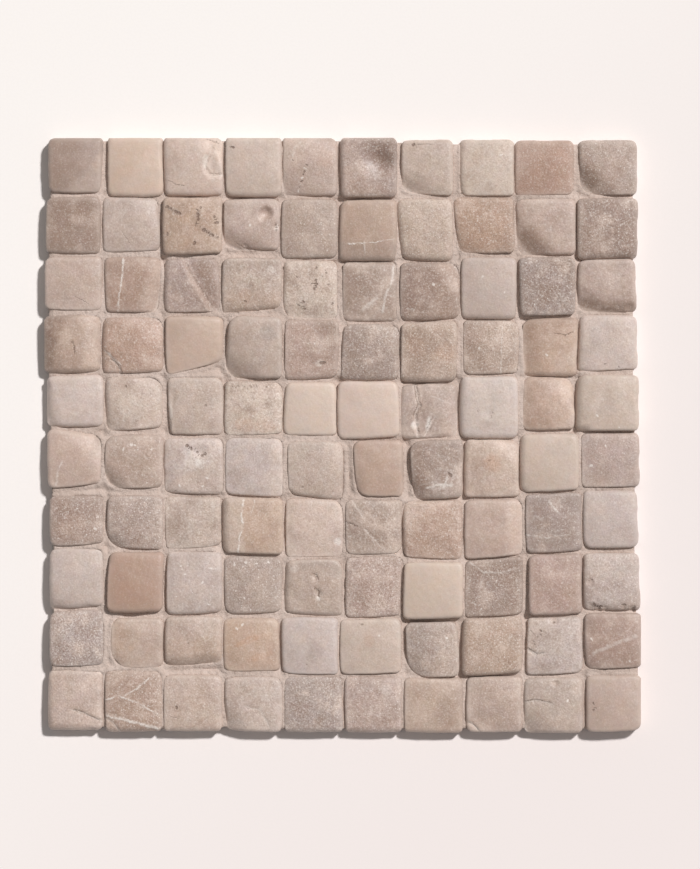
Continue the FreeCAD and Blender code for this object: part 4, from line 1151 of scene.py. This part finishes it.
def tumbled_stone(outline, plane, row, column, tone):
    """One stone's points, faces and surface fields."""
    seed = row * 100 + column
    dice = random.Random(seed)
    middle = outline.mean(0)
    ring, place = face_grid()
    flat = face_points(outline, ring, place)
    distance = distance_inside(flat, outline)[0]
    distance[ring == RINGS] = 0
    x, y = (flat - np.array([(column - 5.5) * CELL, (5.5 - row) * CELL])).T
    many = len(x)
    edge_drop = edge_wear(x, y, distance, row, column, seed)
    drop = PILLOW_DROP * (x ** 2 + y ** 2) / HALF_STONE ** 2 / 2
    drop += 0.3 * waves(seed + 3, x, y, 14) + 0.09 * waves(seed + 4, x, y, 4)
    flank_drop = np.zeros(many)
    colour = np.tile(shade(TONES[tone]), (many, 1))
    colour *= 1 + 0.1 * (waves(seed + 5, x, y, 16)[:, None] - 0.5)
    wavy = 1.3 * (waves(seed + 6, x, y, 9) - 0.5) + 0.9 * (waves(seed + 8, x, y, 3) - 0.5)
    grain = Grain(0.25, 0.2, 0.45)
    broken = np.zeros(many)
    veins = []
    ledges = []
    spots = []
    for mark in MARKS[(row, column)]:
        # sides and patches lay the stone's own tones and, on many stones, painted shade and painted light on
        # its flanks and hollows
        if isinstance(mark, (Wash, Side, Patch)):
            cover = cover_of(mark, x, y, wavy)[:, None]
            colour = colour * (1 - cover) + shade(TONES[mark.tone]) * cover
        elif isinstance(mark, Slope):
            along = turned(x, y, mark.toward)[0]
            fall = mark.depth * np.clip((along - mark.start) / (along.max() - mark.start), 0, 1) ** 2
            flank_drop += np.clip(fall, 0, None)
            drop += np.clip(fall, None, 0)
        elif isinstance(mark, Dent):
            along, across = turned(x - mark.x, y - mark.y, mark.turn)
            reach = np.hypot(along / mark.across, across / mark.along) + 0.12 * wavy
            drop += mark.depth * step_up((1.05 - reach) / 0.95)
        elif isinstance(mark, Chip):
            reach = np.hypot(x - mark.x, y - mark.y) / mark.radius + 0.25 * wavy
            cut = step_up((1.1 - reach) / 0.5)
            drop += mark.depth * cut * (0.75 + 0.5 * waves(seed + 7, x, y, 1.6))
            broken = np.maximum(broken, cut)
        elif isinstance(mark, Vein):
            veins.append(line_field(x, y, mark.points, mark.amount, mark.width / 2, 1.5))
        elif isinstance(mark, Ledge):
            side, depth, _ = line_field(x, y, mark.points, mark.depth, mark.fall, 3).T
            off = -side
            drop += depth * step_up(off / mark.wall * 0.5 + 0.5) * np.exp(-np.clip(off, 0, None) / mark.fall)
            lip = depth if mark.wall < 2 else 0 * off
            ledges.append(np.column_stack([off, lip, np.full(many, mark.fall)]))
            if mark.wall > 2:
                broken = np.maximum(broken, (depth > 0) * step_up(1.3 - abs(off) / mark.wall))
        elif isinstance(mark, Dot):
            spots.append((mark.x, mark.y, 0.7 * mark.radius))
        elif isinstance(mark, Pit):
            spots.append((mark.x, mark.y, -0.62 * mark.radius))
        elif isinstance(mark, Grain):
            grain = mark
    veins += [np.tile([50.0, 0.0, 0.1], (many, 1))] * (VEINS - len(veins))
    ledges += [np.tile([50.0, 0.0, 1.0], (many, 1))] * (LEDGES - len(ledges))
    lean = WORN_LEAN if flank_drop.max() > 0 else 1.0
    level = plane[:2] @ middle + plane[2] + (1 - lean) * 10 * np.hypot(*plane[:2])
    top = level + lean * ((flat - middle) @ plane[:2]) - drop - flank_drop
    lowest = np.maximum(LOWEST_EDGE, grout_level(*flat.T) - 0.1)
    smear = (0.3 * step_up((lowest + 0.5 - top) / 0.6))[:, None]
    colour = colour * (1 - smear) + shade(GROUT_SMEAR) * smear
    top = lowest + 0.3 * np.logaddexp(0, (top - lowest) / 0.3)
    top -= edge_drop * np.clip((top - lowest) / 1.5, 0, 1)
    fields = {
        "shade": colour,
        "grain": np.tile([grain.specks, grain.pits, grain.mottle], (many, 1)),
        "spots": spot_field(x, y, spots, dice),
    }
    luck = np.full(many, dice.uniform(0, 40))
    # the first value, closeness to the outline, gives the pale rims in the finish: partly chalky wear,
    # partly a painted highlight on the edges
    fields["wear"] = np.column_stack([np.exp(-distance / 1.3), broken, luck])
    for count in range(VEINS):
        fields[f"vein_{count}"] = veins[count]
    for count in range(LEDGES):
        fields[f"ledge_{count}"] = ledges[count]
    points, quads, fan, picks = closed_stone(flat, top, ring, place)
    return points, quads, fan, {name: field[picks] for name, field in fields.items()}


def stone_finish(name):
    """Honed, tumbled stone: cloudy mottling, fine grain, pale specks, small pits, veins and dots."""
    material, layer, place = new_finish(name)
    chalk, bone, coffee, umber = [linear(*TONES[tone]) for tone in ("chalk", "bone", "coffee", "umber")]

    def field(label):
        return layer.node("ShaderNodeAttribute", {"attribute_name": label}, {}, 1).parts()

    specks, pits, mottle = field("grain")
    rim, broken, luck = field("wear")

    def cloud(scale, detail, roughness=0.5):
        return layer.node("ShaderNodeTexNoise", {"noise_dimensions": "4D"}, {
            "Vector": place, "W": luck, "Scale": scale, "Detail": detail, "Roughness": roughness,
        })

    def crumbs(settings, values):
        """Small cells: how far it is to the middle of each, and three numbers of its own."""
        cells = layer.node("ShaderNodeTexVoronoi", settings, {"Vector": place, "Randomness": 1.0} | values)
        return cells, cells.outputs()[1].parts()

    broad = cloud(95.0, 3.0)
    blotch = cloud(330.0, 4.0, 0.65)
    fine = cloud(1150.0, 3.0, 0.7)
    dust = cloud(3600.0, 2.0)
    crystals = cloud(1500.0, 2.0, 0.6)
    colour = layer.node("ShaderNodeAttribute", {"attribute_name": "shade"}, {}, 0)
    for scale in (105.0, 390.0):
        drift = cloud(scale, 1.0).clear_of(0.35, 0.65)
        colour = colour.glazed(drift.blend((0.995, 1, 1.015, 1), (1.005, 1, 0.985, 1)))
        drift = cloud(scale * 1.3, 1.0).clear_of(0.35, 0.65)
        colour = colour.glazed(drift.blend((0.99, 1.003, 1, 1), (1.01, 0.997, 1, 1)))
    strong = 0.22 + 1.3 * mottle
    colour = colour.tinted(mottle * 0.72 * broad.clear_of(0.5, 0.7), coffee)
    colour = colour.tinted(mottle * 0.7 * (1 - broad.clear_of(0.3, 0.5)), bone)
    colour = colour.tinted(mottle * 0.68 * blotch.clear_of(0.5, 0.75), coffee)
    colour = colour.tinted(mottle * 0.78 * (1 - blotch.clear_of(0.25, 0.47)), bone)
    colour = colour.tinted(strong * 0.42 * fine.clear_of(0.46, 0.75), umber)
    colour = colour.tinted(strong * 0.5 * (1 - fine.clear_of(0.25, 0.5)), chalk)
    seeds, choice = crumbs({"voronoi_dimensions": "4D"}, {"W": luck, "Scale": 760.0})
    speck = (0.02 + 0.3 * specks * choice[0] ** 3.0 - seeds + (fine - 0.5) * 0.3).clear_of(0.0, 0.1)
    speck = speck * specks.clear_of(0.0, 0.4)
    colour = colour.tinted(speck * 0.75, chalk)
    colour = colour.tinted(specks * 0.16 * crystals.clear_of(0.5, 0.68), chalk)
    colour = colour.tinted(specks * 0.32 * (1 - crystals.clear_of(0.34, 0.5)), umber)
    flakes, pick = crumbs({}, {"Scale": 1050.0})
    fleck = (0.04 + 0.38 * pick[0] ** 2.5 - flakes).clear_of(0.0, 0.12) * specks.clear_of(0.0, 0.8)
    colour = colour.tinted(fleck * 0.5, chalk)
    holes, lot = crumbs({"voronoi_dimensions": "4D"}, {"W": luck + 7.0, "Scale": 480.0})
    pit = (0.3 * pits * lot[1] ** 3.0 - holes + 0.02 + (fine - 0.5) * 0.35).clear_of(0.0, 0.1)
    colour = colour.tinted(pit * 0.6, umber)
    relief = pit * -0.0002 + speck * 0.00003 + specks * crystals * 0.00015
    wander = (fine - 0.5) * 1.6 + (blotch - 0.5) * 2.4
    for count in range(VEINS):
        side, amount, half = field(f"vein_{count}")
        band = 1 - (abs(side + wander) / half * 0.5).clear_of(0.1, 0.7)
        pale = band * (0.5 + blotch).clear_of(0.8, 1.1) * amount.clear_of(0.0, 1.0)
        dark = band * (0.35 + 0.65 * crystals.clear_of(0.45, 0.6)) * (amount * -1.0).clear_of(0.0, 1.0)
        colour = colour.tinted(pale * 0.75, chalk)
        colour = colour.tinted(dark * 0.8, umber)
        relief = relief + pale * 0.00006 - dark * 0.0003
    for count in range(LEDGES):
        off, amount, _ = field(f"ledge_{count}")
        off = off + wander
        lip = off.clear_of(-0.15, 0.3)
        # the pale tint on the step's wall is partly freshly chipped stone and partly a painted highlight on
        # the wall
        chipped_lip_and_highlight = lip * (1 - off.clear_of(0.1, 1.3)) * amount.clear_of(0.0, 0.4)
        colour = colour.tinted(chipped_lip_and_highlight * 0.3, chalk)
        relief = relief - lip * (1 - off.clear_of(0.2, 2.2)) * amount * 0.0004
        broken = broken + lip * (1 - off.clear_of(0.0, 4.0)) * amount
    off_x, off_y, radius = field("spots")
    reach = (off_x * off_x + off_y * off_y) ** 0.5 + wander * 0.8
    spot = (abs(radius) - reach).clear_of(-0.25, 0.25) * abs(radius).clear_of(0.1, 0.3)
    pale = spot * radius.clear_of(0.0, 0.2)
    dark = spot * (radius * -1.0).clear_of(0.1, 0.5)
    colour = colour.tinted(pale * 0.6, chalk)
    colour = colour.tinted(dark * 0.75, umber)
    relief = relief + pale * 0.00004 - dark * 0.0003
    # pale rims all round: partly chalky wear, partly a painted highlight on the rounded edges
    colour = colour.tinted(rim * 0.28 * fine.clear_of(0.2, 0.6), chalk)
    colour = colour.tinted(broken * 0.3 * blotch.clear_of(0.35, 0.65), bone)
    relief = relief + (0.45 + mottle) * (fine * 0.0002 + dust * 0.00005 + blotch * 0.0003)
    relief = relief + broken * blotch * 0.0006
    close_finish(layer, colour, 0.4 + 0.16 * fine + 0.12 * broken, relief, 0.5)
    return material


def wear_tree(material, sizes):
    """Tumbling wear: the whole skin is worn in by a soft random depth, so no edge or face stays true."""
    tree, size = tree_with("tumbling_wear", sizes)
    layer = Layer(tree)
    here = layer.node("GeometryNodeInputPosition", {}, {})
    outward = layer.node("GeometryNodeInputNormal", {}, {})
    lumps = layer.node("ShaderNodeTexNoise", {"noise_dimensions": "4D"}, {
        "Vector": here, "W": size["Seed"], "Scale": 1.0 / size["Size"], "Detail": 3.0, "Roughness": 0.55,
    })
    depth = lumps.clear_of(0.25, 0.75) * size["Depth"] * -1.0
    inward = layer.node("ShaderNodeVectorMath", {"operation": "SCALE"}, {0: outward, "Scale": depth})
    worn = layer.node("GeometryNodeSetPosition", {}, {"Geometry": size["Geometry"], "Offset": inward})
    close_tree(layer, worn, material)
    return tree


def smooth_mesh(name, points, faces):
    """A mesh from points in mm, shaded smooth but for its sharpest edges."""
    mesh = bpy.data.meshes.new(name)
    mesh.from_pydata((np.concatenate(points) * MM).tolist(), [], faces)
    mesh.polygons.foreach_set("use_smooth", [True] * len(mesh.polygons))
    mesh.set_sharp_from_angle(angle=math.radians(75))
    return mesh


def stone_mesh(name, made):
    """Joins the stones of one tone into one mesh with their surface fields."""
    faces = []
    total = 0
    for points, quads, fan, own in made:
        faces += (quads + total).tolist() + (fan + total).tolist()
        total += len(points)
    mesh = smooth_mesh(name, [points for points, *_ in made], faces)
    for label in made[0][3]:
        values = np.concatenate([own[label] for *_, own in made])
        kind, key = ("FLOAT_VECTOR", "vector")
        if label == "shade":
            kind, key = ("FLOAT_COLOR", "color")
            values = np.column_stack([values, np.ones(len(values))])
        layer = mesh.attributes.new(label, kind, "POINT")
        layer.data.foreach_set(key, values.astype(np.float32).ravel())
    return mesh


Laid = namedtuple("Laid", "node row column plane outline")

laid = []
for node_name in sorted(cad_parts):
    if node_name.endswith("_stones"):
        for foot, plane in sawn_stones(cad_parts[node_name]):
            middle = foot.mean(0)
            row = round(5.5 - middle[1] / CELL)
            column = round(middle[0] / CELL + 5.5)
            laid.append(Laid(node_name, row, column, plane, worn_outline(foot, row * 100 + column)))
# a solid gives its stones in no fixed order, so they are put in the order of the rows
laid.sort(key=lambda stone: (stone.node, stone.row, stone.column))
laid_outlines = []
for stone in laid:
    others = [other.outline for other in laid if other is not stone
              and max(abs(other.row - stone.row), abs(other.column - stone.column)) < 2]
    edges = [marked(stone.row, stone.column, kind) for kind in (West, South)]
    laid_outlines.append(filled_out(stone.outline, others, *edges))

for node_name in sorted({stone.node for stone in laid}):
    tone = node_name.replace("_stones", "")
    made = [tumbled_stone(outline, stone.plane, stone.row, stone.column, tone)
            for stone, outline in zip(laid, laid_outlines) if stone.node == node_name]
    stones = new_piece(f"tumbled_{tone}_stones", stone_mesh(f"tumbled_{tone}_stones", made))
    wear = {"Depth": WEAR_DEPTH, "Size": WEAR_SIZE, "Seed": float(len(tone))}
    shaped(stones, wear_tree(stone_finish(f"{tone}_stone"), wear), wear)
    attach(stones, "root")
    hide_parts(node_name)


# Grout
# Sanded cement, pinkish cream, rubbed into the joints and wiped back with a sponge, so it lies a few
# millimetres below the faces and climbs a little against each stone. It holds the stones to each other.

GROUT_CELL = 0.85
GROUT_BACK = 0.55
GROUT_CLIMB = 0.5
GROUT_BED = 0.6
GROUT_RECESS = 1.5
GROUT_EDGE = 143

# Where the sponge dug deeper, below and to the left of tall stones: place, radius and depth in mm
HOLLOWS = [
    (92, 57, 5, 2.5), (131, 88, 6, 2), (118, 90, 3, 1.5), (40, 28, 6, 1.8), (31, 28, 3, 1.5),
    (-3.5, 86, 4, 2.5), (5, 87, 6, 1.5), (116, 1, 4, 2), (-60, 27, 5, 1.8), (58, -120, 4, 1.8),
    (-3.7, 117, 4.5, 3), (6, 118, 6, 1.5), (-90, 88, 4, 2.5), (-80, 87, 5, 1.5), (41, 59, 7, 1.2),
    (42, -32, 6, 1.8), (61, -3, 4, 1.5), (-2, 27, 4.5, 2.2), (-50, 119, 7, 1.5), (31, -3, 4, 2.2),
    (40, -92, 7, 1.8), (92, -91, 5, 1.5), (61, -31, 4, 1.5), (-106, -88, 7, 1.5), (-75, 120, 6, 1.5),
    (121, 118, 4, 1.2), (-50, 90, 6, 1),
]


def grout_limit():
    """The outer line of the grout, a little behind the outer side of each stone at the edge."""
    line = []
    for way_x, way_y in ((0, 1), (-1, 0), (0, -1), (1, 0)):
        side = []
        for outline in laid_outlines:
            middle = outline.mean(0)
            out = middle[0] * way_x + middle[1] * way_y
            if out < 4 * CELL:
                continue
            across = (outline[:, 0] - middle[0]) * way_y - (outline[:, 1] - middle[1]) * way_x
            faced = outline[:, 0] * way_x + outline[:, 1] * way_y
            reach = faced[(abs(across) < 2) & (faced > out)].mean() - GROUT_RECESS
            along = -middle[0] * way_y + middle[1] * way_x
            side.append((along, way_x * reach - way_y * along, way_y * reach + way_x * along))
        line += [place[1:] for place in sorted(side)]
    return np.array(line)


def grout_height(x, y, gap):
    """How high the grout's surface lies, where the gap is the distance from the nearest stone."""
    height = grout_level(x, y) + GROUT_CLIMB * np.exp(-np.clip(gap, 0, None) / 0.8)
    height -= 1.5 * step_up((gap - 1.1) / 2.4) + 1.3 * np.clip(-gap - 0.1, 0, None)
    height -= 1.6 * np.clip((np.maximum(abs(x), abs(y)) - GROUT_EDGE) / 5, 0, 1) ** 2
    for middle_x, middle_y, radius, depth in HOLLOWS:
        height -= depth * np.exp(-((x - middle_x) ** 2 + (y - middle_y) ** 2) / (0.7 * radius) ** 2)
    height += 0.5 * (waves(901, x, y, 40) - 0.5) + 0.35 * (waves(902, x, y, 7) - 0.5)
    sand = np.random.default_rng(904).uniform(-0.05, 0.05, x.shape)
    height += 0.25 * (waves(903, x, y, 2.4) - 0.5) + sand
    return height


def grout_mesh():
    """The grout's own surface: a fine grid over the joints, bedded into the stones and closed below."""
    count = int(300 / GROUT_CELL) + 1
    marks = (np.arange(count) - (count - 1) / 2) * GROUT_CELL
    x, y = np.meshgrid(marks, marks, indexing="ij")
    gap = np.full(x.shape, 9.0)
    for outline in laid_outlines:
        low = np.searchsorted(marks, outline.min(0) - 3)
        high = np.searchsorted(marks, outline.max(0) + 3)
        part = (slice(low[0], high[0]), slice(low[1], high[1]))
        places = np.column_stack([x[part].ravel(), y[part].ravel()])
        distance, inside = distance_inside(places, outline)
        distance = np.where(inside, -distance, distance).reshape(x[part].shape)
        gap[part] = np.minimum(gap[part], distance)
    within = distance_inside(np.column_stack([x.ravel(), y.ravel()]), grout_limit())[1].reshape(x.shape)
    filled = within & (gap > -GROUT_BED - 0.5 * GROUT_CELL)
    cells = filled[:-1, :-1] & filled[1:, :-1] & filled[1:, 1:] & filled[:-1, 1:]
    # cells that touch only at a corner get a neighbour, so that every edge has two faces
    for turn in range(20):
        rising = cells[:-1, :-1] & cells[1:, 1:] & ~cells[1:, :-1] & ~cells[:-1, 1:]
        falling = cells[1:, :-1] & cells[:-1, 1:] & ~cells[:-1, :-1] & ~cells[1:, 1:]
        if not rising.any() and not falling.any():
            break
        cells[1:, :-1] |= rising
        cells[:-1, :-1] |= falling
    padded = np.pad(cells, 1)
    used = padded[:-1, :-1] | padded[1:, :-1] | padded[1:, 1:] | padded[:-1, 1:]
    under = used.sum()
    number = np.full(x.shape, -1)
    number[used] = np.arange(under)
    top = np.column_stack([x[used], y[used], grout_height(x, y, gap)[used]])
    back = np.column_stack([x[used], y[used], np.full(under, GROUT_BACK)])
    i, j = np.nonzero(cells)
    ring = [number[i, j], number[i + 1, j], number[i + 1, j + 1], number[i, j + 1]]
    faces = [np.column_stack(ring), np.column_stack(ring[::-1]) + under]
    beside = [padded[i + 1, j], padded[i + 2, j + 1], padded[i + 1, j + 2], padded[i, j + 1]]
    for side in range(4):
        bare = ~beside[side]
        first = ring[side][bare]
        second = ring[(side + 1) % 4][bare]
        faces.append(np.column_stack([first, first + under, second + under, second]))
    return smooth_mesh("joint_grout", [top, back], np.concatenate(faces).tolist())


def grout_finish():
    """Sanded cement: a cloudy pale pinkish paste with darker random lumps, and fine pale sand."""
    material, layer, place = new_finish("sanded_grout")
    broad = layer.node("ShaderNodeTexNoise", {}, {"Vector": place, "Scale": 60.0, "Detail": 3.0})
    lumps = layer.node("ShaderNodeTexNoise", {}, {"Vector": place, "Scale": 600.0, "Detail": 4.0})
    sand = layer.node("ShaderNodeTexVoronoi", {}, {"Vector": place, "Scale": 2100.0, "Randomness": 1.0})
    ground = broad.clear_of(0.35, 0.65).blend(linear(207, 189, 179), linear(196, 177, 166))
    ground = ground.tinted(0.42 * lumps.clear_of(0.48, 0.72), linear(162, 140, 128))
    ground = ground.tinted(0.5 * (1 - sand.clear_of(0.1, 0.42)), linear(222, 206, 197))
    relief = lumps * 0.0007 + (1 - sand) * 0.00016
    close_finish(layer, ground, 0.82 + 0.12 * lumps, relief, 0.25)
    return material


grout = new_piece("joint_grout", grout_mesh())
grout.data.materials.append(grout_finish())
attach(grout, "root")
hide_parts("grout")


# Studio
# The sheet lies on a plain pale floor. A large lamp stands to the upper right, and the camera looks
# straight down on the sheet.

PX = 0.5 * MM
PHOTO_WIDE = 700
PHOTO_HIGH = 869
SHEET_MIDDLE = (342.5, 436.5)
CAMERA_HEIGHT = 3.01
FOCUS_HEIGHT = 0.01
SENSOR_WIDTH = 36
SUN_ROUND = 46
SUN_UP = 51.6
SUN_LEVEL = 0.78
SUN_SPREAD = 6
FLOOR_HALF = 3


def floor_finish():
    """Smooth pale board, a touch warmer and darker to the lower right."""
    material, layer, place = new_finish("pale_board")
    slope = layer.node("ShaderNodeVectorMath", {"operation": "DOT_PRODUCT"}, {
        0: place, 1: (0.7, -0.7, 0.0),
    }, 1)
    fibre = layer.node("ShaderNodeTexNoise", {}, {"Vector": place, "Scale": 900.0, "Detail": 3.0})
    board = slope.clear_of(-0.2, 0.2).blend(linear(251, 246, 243), linear(243, 234, 232))
    board = board.tinted(0.1 * fibre.clear_of(0.4, 0.7), linear(236, 230, 226))
    close_finish(layer, board, 0.9, fibre * 0.00002, 0.0)
    return material


corners = [(x * FLOOR_HALF, y * FLOOR_HALF, 0) for x, y in ((-1, -1), (1, -1), (1, 1), (-1, 1))]
board = bpy.data.meshes.new("floor")
board.from_pydata(corners, [], [(0, 1, 2, 3)])
board.materials.append(floor_finish())
floor = new_piece("floor", board)

sky = bpy.data.worlds.new("studio")
scene.world = sky
sky.use_nodes = True
sky.node_tree.nodes.clear()
air = Layer(sky.node_tree)
rays = {ray.socket.name: ray for ray in air.node("ShaderNodeLightPath", {}, {}).outputs()}
seen = air.sum_node("MAXIMUM", rays["Is Camera Ray"], rays["Is Glossy Ray"])
seen = air.sum_node("MAXIMUM", seen, rays["Is Transmission Ray"])
soft = air.node("ShaderNodeBackground", {}, {"Color": (1.0, 0.985, 0.975, 1.0), "Strength": 0.22})
pale = air.node("ShaderNodeBackground", {}, {"Color": linear(250, 244, 241), "Strength": 1.0})
both = air.node("ShaderNodeMixShader", {}, {0: seen, 1: soft, 2: pale})
air.node("ShaderNodeOutputWorld", {}, {"Surface": both})

lamp = bpy.data.lights.new("key_lamp", "SUN")
lamp.energy = SUN_LEVEL * math.pi / math.sin(math.radians(SUN_UP))
lamp.angle = math.radians(SUN_SPREAD)
lamp.color = (1.0, 0.99, 0.98)
key = new_piece("key_lamp", lamp)
key.rotation_euler = (math.radians(90 - SUN_UP), 0, math.radians(90 + SUN_ROUND))

camera_data = bpy.data.cameras.new("camera")
camera_data.sensor_width = SENSOR_WIDTH
camera_data.lens = SENSOR_WIDTH * (CAMERA_HEIGHT - FOCUS_HEIGHT) / (PHOTO_HIGH * PX)
camera_data.clip_end = 20
camera = new_piece("camera", camera_data)
camera.location = (
    (PHOTO_WIDE / 2 - SHEET_MIDDLE[0]) * PX,
    (SHEET_MIDDLE[1] - PHOTO_HIGH / 2) * PX,
    CAMERA_HEIGHT,
)
scene.camera = camera
scene.view_settings.view_transform = "Standard"
